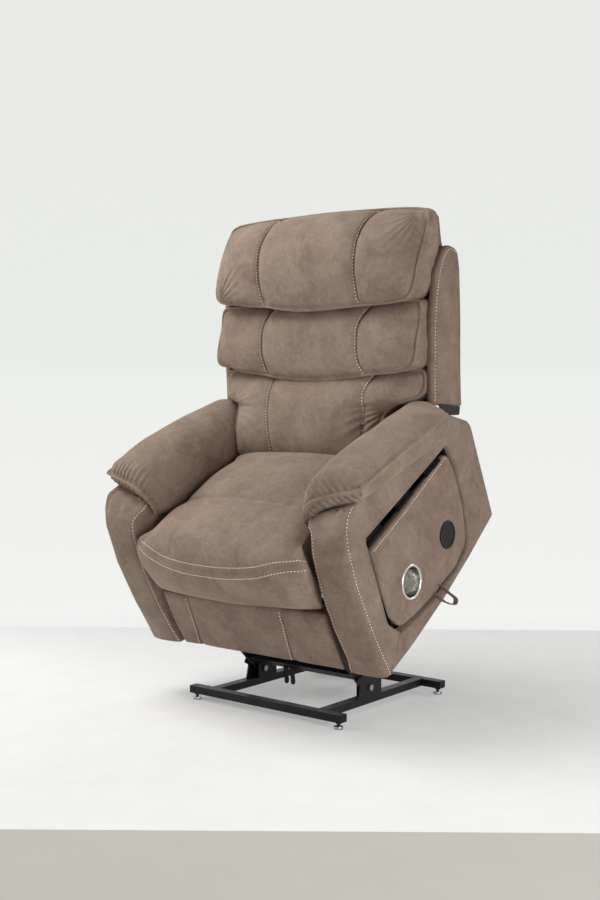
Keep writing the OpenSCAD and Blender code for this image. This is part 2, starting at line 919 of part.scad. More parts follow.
tray_face = half_w - tray_inset;
tray_slope = atan2(299 - 331, 557 - 132);
hinge_rise = 14;
hinge_r = 3;
hinge_from = [132, 331 + hinge_rise];
cup_at = [222, 138];
disc_at = [434, 125];
disc_t = 5;
disc_sink = 3;
cup_r = cup_rim_r - 7;

// A frame on the tray's hinge line: y runs to the rear along it.
module on_tray_hinge() {
  translate([tray_face - 8, hinge_from.x, hinge_from.y])
    rotate([tray_slope, 0, 0])
      children();
}

hinge_len = 400;
knuckle = hinge_len / 5;
knuckle_r = 6;
hinge_leaf = 28;

module tray_panel() {
  color(suede)
    in_chair()
      difference() {
        union() {
          plate(tray_outline, tray_face - tray_t, tray_t);
          on_tray_hinge()
            for (y = [knuckle, 3 * knuckle])
              translate([0, y + 0.3, 0]) {
                y_tube(0, knuckle - 0.6, knuckle_r);
                translate([-knuckle_r, 0, -hinge_rise - 6])
                  cube([4, knuckle - 0.6, hinge_rise + 6]);
              }
        }
        on_tray_hinge()
          y_tube(-1, hinge_len + 1, hinge_r + pin_gap);
        x_rod(cup_at.x, cup_at.y, cup_r + 0.2, tray_face - tray_t - 1, tray_face + 1);
        x_rod(disc_at.x, disc_at.y, disc_r + 0.2, tray_face - disc_sink, tray_face + 1);
      }
}

// Pin and fixed knuckles of the tray's hinge, on a leaf under the recess's top edge.
module tray_hinge_pin() {
  color(plastic_black)
    in_chair()
      on_tray_hinge() {
        y_tube(0, hinge_len, hinge_r);
        for (y = [0, 2 * knuckle, 4 * knuckle])
          translate([0, y, 0]) {
            y_tube(0, knuckle, knuckle_r);
            translate([-knuckle_r, 0, 0])
              cube([4, knuckle, hinge_leaf]);
          }
      }
}

well_depth = 92;
well_wall = 5;

// Plywood well behind the tray, deep enough for the cup holder to swing out.
module tray_well() {
  x = half_w - cover_t - well_depth;
  y0 = 96;
  y1 = 572;
  low = cover_t + 0.5;
  top = hinge_from.y + hinge_leaf / cos(tray_slope) + well_wall;
  slope = tan(tray_slope);
  color(plastic_black)
    in_chair()
      difference() {
        plate([[y0, low], [y1, low], [y1, top + slope * (y1 - hinge_from.x)],
          [y0, top + slope * (y0 - hinge_from.x)]], x, well_depth - 0.2);
        plate([
          [y0 + well_wall, low + 3], [y1 - well_wall, low + 3],
          [y1 - well_wall, top - well_wall + slope * (y1 - well_wall - hinge_from.x)],
          [y0 + well_wall, top - well_wall + slope * (y0 + well_wall - hinge_from.x)]],
          x + well_wall, well_depth);
      }
}

module cup_holder() {
  rim_t = 2;
  color(steel_bright)
    in_chair()
      translate([tray_face, cup_at.x, cup_at.y])
        rotate([0, 90, 0])
          rotate_extrude()
            polygon([
              [0, -cup_depth], [cup_r - 6, -cup_depth], [cup_r, -cup_depth + 6], [cup_r, 0],
              [cup_rim_r, 0], [cup_rim_r, rim_t], [cup_r - cup_wall, rim_t],
              [cup_r - cup_wall, -cup_depth + 6 + cup_wall], [cup_r - 6 - cup_wall, -cup_depth + cup_wall],
              [0, -cup_depth + cup_wall]]);
}

module charging_disc() {
  color(plastic_black)
    in_chair()
      translate([tray_face - disc_sink, disc_at.x, disc_at.y])
        rotate([0, 90, 0])
          rotate_extrude()
            polygon([
              [0, 0], [disc_r, 0], [disc_r, disc_t - 1], [disc_r - 1, disc_t], [disc_r - 5, disc_t],
              [disc_r - 6, disc_t - 1], [0, disc_t - 1]]);
}

// Webbing loop sewn to the tray's lower edge; the strip stands on its side.
loop_t = 2.4;
module pull_loop() {
  outer = [[286, 38, 0], [284, -12, 18], [320, -44, 18], [350, -20, 18], [326, 38, 0]];
  centre = [314, 2];
  shrink = 1 - 2 * loop_t / 64;
  inner = [for (p = outer) [
    centre.x + (p.x - centre.x) * shrink, centre.y + (p.y - centre.y) * shrink, p.z * shrink]];
  color(suede_dark)
    in_chair() {
      difference() {
        plate(round_poly(outer), half_w + 0.5, loop_w);
        plate(round_poly(inner), half_w, loop_w + 2);
      }
      translate([tray_face, 288, 36])
        cube([half_w + 3 - tray_face, 36, 4]);
    }
}

// ---- backrest ------------------------------------------------------------

back_plate_x = 268;
back_plate_t = 6;
pillow_back = 60;
board_gap = 0.2;

function to_back(p) =
  let (q = p - back_origin)
  [q.x * cos(back_lean) - q.y * sin(back_lean), q.x * sin(back_lean) + q.y * cos(back_lean)];

hinge_in_back = to_back(back_hinge);
lever_in_back = to_back([back_hinge.x, back_hinge.y - 100]);

module back_frame() {
  post = 24;
  post_x = back_plate_x - post;
  low = -120;
  high = 396;
  color(ply)
    in_back() {
      both_sides()
        translate([post_x, -pillow_back + 0.3, low])
          cube([post, 30, high - low]);
      for (z = [low, 40, 250, high - 30])
        translate([-post_x + board_gap, -pillow_back + 0.3, z])
          cube([2 * (post_x - board_gap), 30, 30]);
    }
}

// Rear cover: flat below, and leaning forward behind the head pillow.
module back_shell() {
  shell_t = 24;
  wide = wing_x - 0.3;
  narrow = inner_x - 6;
  step = 14;
  profile = round_poly([
    [0, step, 0], [0, 405, 40], [-62, 462, 40], [-84, 540, 5], [-97, 538, 5],
    [-80, 470, 20], [-shell_t, 400, 30], [-shell_t, step, 0]]);
  color(suede)
    in_back() {
      plate(profile, -wide, 2 * wide);
      translate([-narrow, -shell_t, -108])
        cube([2 * narrow, shell_t, 108 + step + 1]);
    }
}

wing_x = pillow_half + 3;
wing_outline = round_poly([
  [-1, 0, 4], [-1, 440, 26], [-70, 462, 40], [-133, 390, 40], [-170, 253, 40], [-195, 26, 4]]);

module wing() {
  plate(wing_outline, wing_x, wing_t);
}

module left_wing() {
  color(suede_dark)
    in_back()
      wing();
}

module right_wing() {
  color(suede_dark)
    in_back()
      mirror([1, 0, 0])
        wing();
}

function link_outline(a, b, wa, wb) =
  let (d = unit(b - a), n = [-d.y, d.x])
  round_poly([
    [(a + n * wa - d * wa).x, (a + n * wa - d * wa).y, wa * 0.8],
    [(a - n * wa - d * wa).x, (a - n * wa - d * wa).y, wa * 0.8],
    [(b - n * wb + d * wb).x, (b - n * wb + d * wb).y, wb * 0.8],
    [(b + n * wb + d * wb).x, (b + n * wb + d * wb).y, wb * 0.8]]);

lever_x = 70;
shaft_r = 11;
lever_gap = 5;
lever_pin_r = 5;

// Steel brackets: hinge plates inside the mechanism plates, and black tabs under the wings.
module back_brackets() {
  h = hinge_in_back;
  plate_outline = round_poly([
    [-28, 60, 4], [-58, 60, 4], [-58, -90, 0], [h.x - 16, h.y + 6, 12],
    [h.x - 10, h.y - 18, 12], [h.x + 18, h.y - 12, 12], [-28, -104, 4]]);
  rise = -26 / 195;
  tab = round_poly([
    [-120, -120 * rise - 0.3, 0], [-112, -8, 6], [-85, -20, 8], [-14, -24, 6], [-8, -8 * rise - 0.3, 0]]);
  color(steel_black)
    in_back() {
      both_sides()
        difference() {
          plate(plate_outline, back_plate_x, back_plate_t);
          x_rod(h.x, h.y, bolt_r + pin_gap, back_plate_x - 1, back_plate_x + back_plate_t + 1);
        }
      both_sides()
        plate(tab, wing_x + 4, plate_t);
      // A cross shaft between the plates carries the back rod's lever and pin.
      difference() {
        x_rod(h.x, h.y, shaft_r, -back_plate_x + board_gap, back_plate_x - board_gap);
        both_sides()
          x_rod(h.x, h.y, bolt_r + pin_gap, back_plate_x - 8, back_plate_x + 1);
      }
      difference() {
        union() {
          for (x = [lever_x - lever_gap - back_plate_t, lever_x + lever_gap])
            plate(link_outline(h, lever_in_back, shaft_r + 5, 10), x, back_plate_t);
          x_rod(lever_in_back.x, lever_in_back.y, lever_pin_r,
            lever_x - lever_gap - back_plate_t, lever_x + lever_gap + back_plate_t);
        }
        x_rod(h.x, h.y, shaft_r + pin_gap, lever_x - 30, lever_x + 30);
      }
    }
}

// One back pillow: rings up the back, each flat behind and crowned in front.
pillow_spans = 26;

// Depth of the pillows' rear side, clear of the frame and the leaning rear cover.
function rear_at(h) = along(h, [[395, 60], [470, 84], [540, 97.4], [600, 102]]);

function pillow_ring(h, half, depth, dip, seam) =
  let (
    rear = rear_at(h),
    front = [for (i = [0:pillow_spans])
      let (
        u = -1 + 2 * i / pillow_spans,
        bow = pow(1 - pow(abs(u), 3.2), 0.5),
        near = abs(u) - seam,
        notch = dip * (exp(-pow(near / 0.045, 2)) + 0.25 * exp(-pow(near / 0.12, 2)))
      )
      [half * (0.35 * sin(90 * u) + 0.65 * u), -rear - (depth - rear) * (0.42 + 0.58 * bow) + notch, h]]
  )
  concat(front, [
    [half * 0.985, -rear - 12, h], [half * 0.93, -rear, h],
    [0, -rear, h], [-half * 0.93, -rear, h], [-half * 0.985, -rear - 12, h]]);

// rows: [height, half width, depth of the front] up the pillow.
module pillow(rows, sag) {
  seam = 0.36;
  m = len(rows);
  rings = [for (j = [0:m - 1])
    let (
      r = rows[j],
      ring = pillow_ring(r[0], r[1], r[2], j == 0 || j == m - 1 ? 0 : channel_dip, seam),
      low = max(0, 1 - j / 4)
    )
    [for (p = ring) [p.x, p.y, p.z - sag * low * (1 - pow(p.x / r[1], 2))]]];
  bottom = rows[0];
  top = rows[m - 1];
  loft(rings,
    [0, -(rear_at(bottom[0]) + bottom[2]) / 2, bottom[0] - sag * 0.7],
    [0, -(rear_at(top[0]) + top[2]) / 2, top[0]]);
}

module head_pillow() {
  rows = [
    [308, pillow_half - 14, 190], [306, pillow_half - 4, 226], [318, pillow_half, 238], [345, pillow_half, 246],
    [385, pillow_half - 2, 248], [430, pillow_half - 3, 244], [475, pillow_half - 2, 232], [515, pillow_half - 1, 212],
    [545, pillow_half - 3, 186], [564, pillow_half - 8, 162], [back_h, pillow_half - 18, 134]];
  color(suede)
    in_back()
      pillow(rows, 10);
}

module middle_pillow() {
  rows = [
    [116, pillow_half - 16, 180], [113, pillow_half - 6, 216], [124, pillow_half - 3, 230], [150, pillow_half - 3, 240],
    [190, pillow_half - 5, 243], [230, pillow_half - 6, 236], [262, pillow_half - 7, 222], [284, pillow_half - 10, 200],
    [293, pillow_half - 20, 160]];
  color(suede)
    in_back()
      pillow(rows, 10);
}

module lumbar_pillow() {
  low_half = inner_x - 19;
  rows = [
    [-128, low_half - 22, 250], [-122, low_half - 6, 276], [-100, low_half, 286], [-60, low_half, 284],
    [-20, low_half, 274], [14, low_half + 2, 262], [32, low_half + 30, 252], [46, pillow_half - 26, 246],
    [66, pillow_half - 16, 238], [84, pillow_half - 20, 222], [98, pillow_half - 34, 180]];
  color(suede)
    in_back()
      pillow(rows, 0);
}

// ---- backrest actuator ---------------------------------------------------

back_rod_z = back_hinge.y - 100;
back_rod_x = 70;
back_housing = [225, 430];

module back_motor() {
  color(plastic_black)
    in_chair() {
      difference() {
        union() {
          translate([back_rod_x, 0, back_rod_z])
            y_tube(back_housing.x, back_housing.y, 17);
          translate([back_rod_x + 44, 0, back_rod_z])
            y_tube(back_housing.x + 14, back_housing.x + 130, 24);
          translate([back_rod_x - 17, back_housing.x, back_rod_z - 17])
            cube([60, 34, 34]);
        }
        translate([back_rod_x, 0, back_rod_z])
          y_tube(back_housing.x + 40, back_housing.y + 1, 8 + pin_gap);
      }
      // Foot that bolts the housing to the middle cross tube.
      translate([back_rod_x - 14, mid_cross_y + cross_size, cross_z])
        cube([28, back_housing.x - mid_cross_y - cross_size + 1, 20]);
      translate([back_rod_x - 14, back_housing.x, cross_z])
        cube([28, 30, back_rod_z - 16 - cross_z]);
    }
}

// The rod ends in a slotted plate round the lever's pin.
module back_rod() {
  slot = 8;
  color(steel_bright)
    in_chair()
      difference() {
        union() {
          translate([back_rod_x, 0, back_rod_z])
            y_tube(back_housing.x + 110, back_hinge.x - 16, 8);
          translate([back_rod_x - 4, back_hinge.x - 18, back_rod_z - 11])
            cube([8, 36, 46]);
        }
        translate([back_rod_x - 5, back_hinge.x - slot, back_rod_z - 6])
          cube([10, 2 * slot, 32]);
      }
}

// ---- footrest ------------------------------------------------------------

channel_x = 225;
channel_w = 20;
channel_h = 30;
channel_wall = 2.8;
channel_front = 112;
channel_rear = 276;
slide_gap = 0.2;
bar_x = channel_x + channel_wall + slide_gap;
bar_w = channel_w - 2 * (channel_wall + slide_gap);
bar_h = channel_h - 2 * (channel_wall + slide_gap);
bar_rear = 430;
panel_hinge = [80, rail_hinge.y];
panel_pin_r = 5;
footrest_rod_x = -64;
bar_cross_y = 93;

// Box channels that the bars slide in, tied by a cross member and hung on two trunnions.
module footrest_channels() {
  z0 = rail_hinge.y - channel_h / 2;
  length = channel_rear - channel_front;
  color(steel_black)
    in_chair() {
      both_sides() {
        difference() {
          translate([channel_x, channel_front, z0])
            cube([channel_w, length, channel_h]);
          translate([channel_x + channel_wall, channel_front - 1, z0 + channel_wall])
            cube([channel_w - 2 * channel_wall, length + 2, channel_h - 2 * channel_wall]);
        }
        x_rod(rail_hinge.x, rail_hinge.y, 12, channel_x + channel_w - 0.5, side_plate_x - 0.4);
        x_rod(rail_hinge.x, rail_hinge.y, bolt_r, side_plate_x - 1, inner_x - 0.6);
      }
      translate([-channel_x - channel_w, rail_hinge.x + 15, z0 + channel_h - 0.01])
        difference() {
          cube([2 * (channel_x + channel_w), 16, 16]);
          translate([-1, 2, 2])
            cube([2 * (channel_x + channel_w) + 2, 12, 12]);
        }
    }
}

footrest_housing = [122, 390];

module footrest_motor() {
  z = rail_hinge.y;
  color(plastic_black)
    in_chair()
      difference() {
        union() {
          translate([footrest_rod_x, 0, z])
            y_tube(footrest_housing.x, footrest_housing.y, 14.8);
          translate([footrest_rod_x - 42, 0, z])
            y_tube(footrest_housing.y - 150, footrest_housing.y - 20, 22);
          translate([footrest_rod_x - 42, footrest_housing.y - 36, z - 15])
            cube([57, 36, 30]);
        }
        translate([footrest_rod_x, 0, z])
          y_tube(footrest_housing.x - 1, footrest_housing.y - 40, 7 + pin_gap);
      }
}

// Sliding bars with a front cross tube; each bar ends in an eye.
module footrest_bars() {
  color(steel_black)
    in_chair() {
      both_sides()
        difference() {
          union() {
            translate([bar_x, panel_hinge.x, panel_hinge.y - bar_h / 2])
              cube([bar_w, bar_rear - panel_hinge.x, bar_h]);
            x_rod(panel_hinge.x, panel_hinge.y, bar_h / 2, bar_x, bar_x + bar_w);
          }
          x_rod(panel_hinge.x, panel_hinge.y, panel_pin_r + pin_gap, bar_x - 1, bar_x + bar_w + 1);
        }
      translate([-bar_x - 1, bar_cross_y, panel_hinge.y - 8])
        difference() {
          cube([2 * bar_x + 2, 16, 16]);
          translate([-1, 2, 2])
            cube([2 * bar_x + 4, 12, 12]);
        }
    }
}

module footrest_rod() {
  color(steel_bright)
    in_chair()
      translate([footrest_rod_x, 0, rail_hinge.y])
        y_tube(bar_cross_y + 16, 340, 7);
}

// The panel's own slope: its foot stands further forward than its head.
panel_top = [36, 187];
panel_foot = [-9, 5];
panel_dir = unit(panel_top - panel_foot);
panel_out = [-panel_dir.y, panel_dir.x];
panel_len = norm(panel_top - panel_foot);

function on_panel(s, t) = panel_foot + panel_dir * s - panel_out * t;

module footrest_board() {
  rear = footrest_pad_t + footrest_board_t;
  board = [
    on_panel(6, footrest_pad_t), on_panel(panel_len - 6, footrest_pad_t),
    on_panel(panel_len - 6, rear), on_panel(6, rear)];
  lug = round_poly([
    [on_panel(110, rear - 1).x, on_panel(110, rear - 1).y, 0],
    [panel_hinge.x + 2, panel_hinge.y - 12, 6], [panel_hinge.x + 11, panel_hinge.y, 8],
    [panel_hinge.x + 2, panel_hinge.y + 12, 6],
    [on_panel(panel_len - 12, rear - 1).x, on_panel(panel_len - 12, rear - 1).y, 0]]);
  lug_t = 5;
  lug_x = bar_x - lug_t - 1;
  color(ply)
    in_chair() {
      plate(board, -footrest_half + 6, 2 * footrest_half - 12);
      both_sides()
        difference() {
          plate(lug, lug_x, lug_t);
          x_rod(panel_hinge.x, panel_hinge.y, panel_pin_r + pin_gap, lug_x - 1, lug_x + lug_t + 1);
        }
    }
}

module footrest_hinge_pins() {
  head = 3;
  x0 = bar_x - 6;
  x1 = bar_x + bar_w + 1;
  color(steel_bright)
    in_chair()
      both_sides() {
        x_rod(panel_hinge.x, panel_hinge.y, panel_pin_r, x0 - 1, x1);
        x_rod(panel_hinge.x, panel_hinge.y, panel_pin_r + 3, x0 - 1 - head, x0 - 0.5);
      }
}

// Padded face: rings across the width, crowned, with two shallow stitched channels.
module footrest_pad() {
  rim = footrest_pad_t - 10;
  steps = [-1, -0.985, -0.95, -0.8, -0.68, -0.645, -0.61, -0.4, 0, 0.4, 0.61, 0.645, 0.68, 0.8, 0.95, 0.985, 1];
  function rise(u) = abs(u) > 0.99 ? 0 : abs(u) > 0.97 ? 6 : abs(abs(u) - 0.645) < 0.01 ? 5 : 10;
  rings = [for (u = steps)
    let (r = rise(u), x = u * footrest_half)
    [for (q = [
      [0, footrest_pad_t], [0, 10], [4, 10 - r * 0.6], [20, 10 - r], [panel_len * 0.5, 10 - r * 1.05],
      [panel_len - 20, 10 - r], [panel_len - 4, 10 - r * 0.6], [panel_len, 10], [panel_len, footrest_pad_t]])
      let (p = on_panel(q.x, q.y))
      [x, p.x, p.y]]];
  mid = on_panel(panel_len / 2, footrest_pad_t - rim / 2);
  color(suede_dark)
    in_chair()
      loft(rings, [-footrest_half, mid.x, mid.y], [footrest_half, mid.x, mid.y]);
}

// ---- control box, pocket and handset --------------------------------------

module control_box() {
  color(plastic_black)
    in_chair()
      difference() {
        translate([-230, rear_cross_y + cross_size + 0.5, 92])
          cube([130, 60, 44]);
        translate([-165, rear_cross_y + cross_size + 50, 114])
          rotate([-90, 0, 0])
            cylinder(r = 9.1, h = 20);
      }
}

// Socket for the power lead, in the control box's rear face.
module power_inlet() {
  color(plastic_black)
    in_chair()
      translate([-165, rear_cross_y + cross_size + 50, 114])
        rotate([-90, 0, 0])
          difference() {
            cylinder(r = 9, h = 12);
            translate([0, 0, 3])
              cylinder(r = 4, h = 12);
          }
}

pocket_at = [200, 150];
pocket_size = [230, 112];
pocket_depth = 19.5;
pocket_wall = 2.5;

// Flat pouch on the outer side of the sitter's right arm, open at its top.
module side_pocket() {
  color(suede_dark)
    in_chair()
      mirror([1, 0, 0])
        difference() {
          translate([half_w, pocket_at.x, pocket_at.y])
            cube([pocket_depth, pocket_size.x, pocket_size.y]);
          translate([half_w + pocket_wall, pocket_at.x + pocket_wall, pocket_at.y + pocket_wall])
            cube([pocket_depth - 2 * pocket_wall, pocket_size.x - 2 * pocket_wall, pocket_size.y]);
        }
}

handset_h = 188;
handset_y = 300;
handset_z = pocket_at.y + pocket_wall + 0.3;
handset_x = half_w + pocket_wall + 0.3;
button_travel = 1.5;
button_top = 2;
button_sink = 3;

module at_button(i) {
  in_chair()
    mirror([1, 0, 0])
      translate([handset_x + handset_t - button_sink,
        handset_y + (i % 2 == 0 ? -11 : 11), handset_z + handset_h - 22 - 24 * floor(i / 2)])
        rotate([0, 90, 0])
          children();
}

module handset_button(i) {
  color(suede_dark)
    at_button(i)
      cylinder(r = button_r, h = button_sink + button_top);
}

module handset() {
  corner = 10;
  outline = round_poly([
    [handset_y - handset_w / 2, handset_z, corner], [handset_y + handset_w / 2, handset_z, corner],
    [handset_y + handset_w / 2, handset_z + handset_h, corner],
    [handset_y - handset_w / 2, handset_z + handset_h, corner]]);
  color(plastic_black)
    difference() {
      in_chair()
        mirror([1, 0, 0])
          plate(outline, handset_x, handset_t);
      for (i = [0:3])
        at_button(i)
          translate([0, 0, -button_travel - 0.5])
            cylinder(r = button_r + 0.08, h = 12);
    }
}

module lift_button() {
  handset_button(0);
}

module lower_button() {
  handset_button(1);
}

module recline_button() {
  handset_button(2);
}

module upright_button() {
  handset_button(3);
}

// ---- output --------------------------------------------------------------

front_cross_tube();
rear_cross_tube();
side_rails();
tube_end_caps();
levelling_feet();
foot_screws();
pivot_brackets();
lift_pivot_bolts();
motor_clevis();
left_lift_arm();
right_lift_arm();
torque_tube();
lift_motor();
lift_rod();
mechanism_plates();
chassis_cross_tubes();
chair_pivot_brackets();
hinge_bolts();
seat_deck();
seat_springs();
seat_cushion();
arm_frames();
left_arm_cover();
right_arm_cover();
left_arm_front();
right_arm_front();
left_arm_pad();
right_arm_pad();
rear_panel();
control_box();
power_inlet();
side_pocket();
tray_well();
tray_hinge_pin();
back_motor();
back_rod();
footrest_channels();
footrest_motor();
footrest_bars();
footrest_rod();
footrest_board();
footrest_pad();
footrest_hinge_pins();
back_frame();
back_shell();
left_wing();
right_wing();
head_pillow();
middle_pillow();
lumbar_pillow();
back_brackets();
tray_panel();
cup_holder();
charging_disc();
pull_loop();
handset();
lift_button();
lower_button();
recline_button();
upright_button();
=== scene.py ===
"""Lift recliner chair in its raised position: upholstery, tray fittings and finishes over the steel chassis."""

import math

import bmesh
import bpy
import numpy as np
from mathutils import Matrix
from mathutils.bvhtree import BVHTree
from mathutils.kdtree import KDTree


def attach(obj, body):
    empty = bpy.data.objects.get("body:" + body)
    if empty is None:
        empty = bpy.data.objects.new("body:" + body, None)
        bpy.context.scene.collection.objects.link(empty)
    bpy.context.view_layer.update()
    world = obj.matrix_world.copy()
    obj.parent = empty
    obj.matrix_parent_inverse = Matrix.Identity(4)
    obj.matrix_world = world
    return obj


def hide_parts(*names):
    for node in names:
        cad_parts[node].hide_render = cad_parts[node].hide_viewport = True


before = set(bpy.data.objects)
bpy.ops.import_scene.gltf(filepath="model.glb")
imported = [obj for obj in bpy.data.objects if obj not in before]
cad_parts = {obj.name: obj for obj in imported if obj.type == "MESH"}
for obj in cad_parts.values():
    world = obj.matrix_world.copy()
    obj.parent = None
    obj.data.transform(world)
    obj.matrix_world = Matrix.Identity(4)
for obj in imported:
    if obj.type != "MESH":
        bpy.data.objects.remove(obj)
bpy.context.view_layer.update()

# ---- frames of reference, in millimetres --------------------------------------------------------

MM = 0.001
BASE_Y = 121.0                  # set-back that brings the whole chair over the origin
CHAIR_Y = BASE_Y - 268.2        # lower front corner of the arm boxes, origin of the chair's own frame
CHAIR_Z = 168.7
TILT = math.radians(35.6)       # of the raised chair
BACK_Y = 761.0                  # foot of the backrest, origin of its own frame, in the chair's frame
BACK_Z = 332.0
LEAN = math.radians(31.4)       # of the backrest against the chair

HALF_W = 438.5                  # outer faces of the arm boxes
BOX_W = 153.5
INNER_X = HALF_W - BOX_W        # inner faces of the arm boxes
SEAM_X = 318.0                  # inner seam of the arm fronts
TOP_DROP = 44.0                 # fall of the arm boxes' tops towards the seat


def from_chair(points):
    """Points x, y, z in the chair's own frame, as metres in the part's frame."""
    p = np.asarray(points, float)
    y = CHAIR_Y + p[..., 1] * math.cos(TILT) - p[..., 2] * math.sin(TILT)
    z = CHAIR_Z + p[..., 1] * math.sin(TILT) + p[..., 2] * math.cos(TILT)
    return np.stack([p[..., 0], y, z], -1) * MM


def from_back(points):
    """Points x, forward depth, height in the backrest's frame, as metres in the part's frame."""
    p = np.asarray(points, float)
    y = BACK_Y - p[..., 1] * math.cos(LEAN) + p[..., 2] * math.sin(LEAN)
    z = BACK_Z + p[..., 1] * math.sin(LEAN) + p[..., 2] * math.cos(LEAN)
    return from_chair(np.stack([p[..., 0], y, z], -1))


# ---- curves and grids ---------------------------------------------------------------------------

def smooth(points, count, closed=False):
    """A smooth curve through the points, as evenly spaced samples."""
    p = np.asarray(points, float)
    if closed:
        p = np.vstack([p[-1:], p, p[:2]])
    else:
        p = np.vstack([2 * p[:1] - p[1:2], p, 2 * p[-1:] - p[-2:-1]])
    t = np.linspace(0, 1, 16, endpoint=False)[:, None]
    pieces = []
    for a, b, c, d in zip(p[:-3], p[1:-2], p[2:-1], p[3:]):
        ab, bc, cd = (max(np.linalg.norm(v), 1e-6) ** 0.5 for v in (b - a, c - b, d - c))
        m1 = (c - b) + bc * ((b - a) / ab - (c - a) / (ab + bc))
        m2 = (c - b) + bc * ((d - c) / cd - (d - b) / (bc + cd))
        pieces.append((2 * t**3 - 3 * t**2 + 1) * b + (t**3 - 2 * t**2 + t) * m1
                      + (3 * t**2 - 2 * t**3) * c + (t**3 - t**2) * m2)
    pieces.append(p[-2:-1])
    return spaced(np.vstack(pieces), count, closed)


def spaced(line, count, closed=False):
    """The same line in evenly spaced samples."""
    steps = np.linalg.norm(np.diff(line, axis=0), axis=1)
    run = np.concatenate([[0], np.cumsum(steps)])
    at = np.linspace(0, run[-1], count, endpoint=not closed)
    return np.stack([np.interp(at, run, line[:, k]) for k in range(line.shape[1])], -1)


def rounded(corners, count, steps=8):
    """A closed outline from corners (y, z, radius), in evenly spaced samples from its first corner on."""
    line = []
    total = len(corners)
    for i, (y, z, radius) in enumerate(corners):
        b = np.array([y, z], float)
        if radius <= 0:
            line.append(b)
            continue
        a = np.array(corners[i - 1][:2], float)
        c = np.array(corners[(i + 1) % total][:2], float)
        u, v = (a - b) / np.linalg.norm(a - b), (c - b) / np.linalg.norm(c - b)
        half = math.acos(max(-1, min(1, float(u @ v)))) / 2
        centre = b + (u + v) / np.linalg.norm(u + v) * radius / math.sin(half)
        start, stop = b + u * radius / math.tan(half), b + v * radius / math.tan(half)
        a0 = math.atan2(*(start - centre)[::-1])
        turn = (math.atan2(*(stop - centre)[::-1]) - a0 + 3 * math.pi) % (2 * math.pi) - math.pi
        line += [centre + radius * np.array([math.cos(a0 + turn * k / steps), math.sin(a0 + turn * k / steps)])
                 for k in range(steps + 1)]
    line.append(line[0])
    return spaced(np.array(line), count, closed=True)


def inward(outline):
    """Unit normals of a closed 2-D outline, pointing into it."""
    tangent = np.roll(outline, -1, 0) - np.roll(outline, 1, 0)
    tangent /= np.maximum(np.linalg.norm(tangent, axis=1, keepdims=True), 1e-9)
    normal = np.stack([-tangent[:, 1], tangent[:, 0]], -1)
    y, z = outline[:, 0], outline[:, 1]
    area = np.sum(y * np.roll(z, -1) - np.roll(y, -1) * z)
    return normal if area > 0 else -normal


def step(x, low, high):
    """0 below low, 1 above high, smooth between."""
    t = np.clip((x - low) / (high - low), 0, 1)
    return t * t * (3 - 2 * t)


def bump(x, centre, width):
    """1 at the centre, dying away to both sides."""
    return np.exp(-((x - centre) / width) ** 2)


def waves(a, b, seed, count=9, low=0.6, high=1.6):
    """A smooth uneven field over two coordinates, about -1 to 1, the same each run."""
    rng = np.random.default_rng(seed)
    total = np.zeros(np.broadcast(a, b).shape)
    for _ in range(count):
        turn, pitch, phase = rng.uniform(0, 2 * math.pi), rng.uniform(low, high), rng.uniform(0, 2 * math.pi)
        total = total + np.sin((a * math.cos(turn) + b * math.sin(turn)) * pitch + phase)
    return total / math.sqrt(count)


# ---- meshes -------------------------------------------------------------------------------------

def placed(name, data):
    """A new object in the scene for a mesh, a lamp or the camera."""
    made = bpy.data.objects.new(name, data)
    bpy.context.collection.objects.link(made)
    return made


def mesh_piece(name, verts, faces, finish, flat=False):
    """A piece from points in metres and faces, its doubled points merged and its faces turned outwards."""
    mesh = bpy.data.meshes.new(name)
    mesh.from_pydata([tuple(v) for v in verts], [], [tuple(f) for f in faces])
    tidy = bmesh.new()
    tidy.from_mesh(mesh)
    bmesh.ops.remove_doubles(tidy, verts=tidy.verts, dist=1e-6)
    bmesh.ops.recalc_face_normals(tidy, faces=tidy.faces)
    tidy.to_mesh(mesh)
    tidy.free()
    if not flat:
        mesh.shade_smooth()
    mesh.materials.append(finish)
    return placed(name, mesh)


def modified(piece):
    """A new mesh of the piece with its modifiers applied."""
    return bpy.data.meshes.new_from_object(piece.evaluated_get(bpy.context.evaluated_depsgraph_get()))


def stack_faces(rows, count, closed=True):
    """Faces between rows of points, each row closed to a ring or open."""
    return [(j * count + i, j * count + (i + 1) % count, (j + 1) * count + (i + 1) % count, (j + 1) * count + i)
            for j in range(rows - 1) for i in range(count if closed else count - 1)]


def stack(name, rings, finish, ends=(True, True), flat=False):
    """A skin over closed rings of equal, even length. Strips across it close its first and last ends."""
    rings = np.asarray(rings, float)
    rows, count = rings.shape[:2]
    faces = stack_faces(rows, count)
    for closed, first in zip(ends, (0, (rows - 1) * count)):
        if closed:
            faces += [(first + i, first + i + 1, first + count - 2 - i, first + count - 1 - i)
                      for i in range(count // 2 - 1)]
    return mesh_piece(name, rings.reshape(-1, 3), faces, finish, flat)


def at_x(x, flat):
    """Points (y, z) set at one x, or each at its own."""
    return np.column_stack([np.broadcast_to(x, len(flat)), flat])


def perimeter(rows, columns):
    """Indices round the edge of a grid."""
    around = [(0, i) for i in range(columns)]
    around += [(j, columns - 1) for j in range(1, rows)]
    around += [(rows - 1, i) for i in range(columns - 2, -1, -1)]
    around += [(j, 0) for j in range(rows - 2, 0, -1)]
    return around


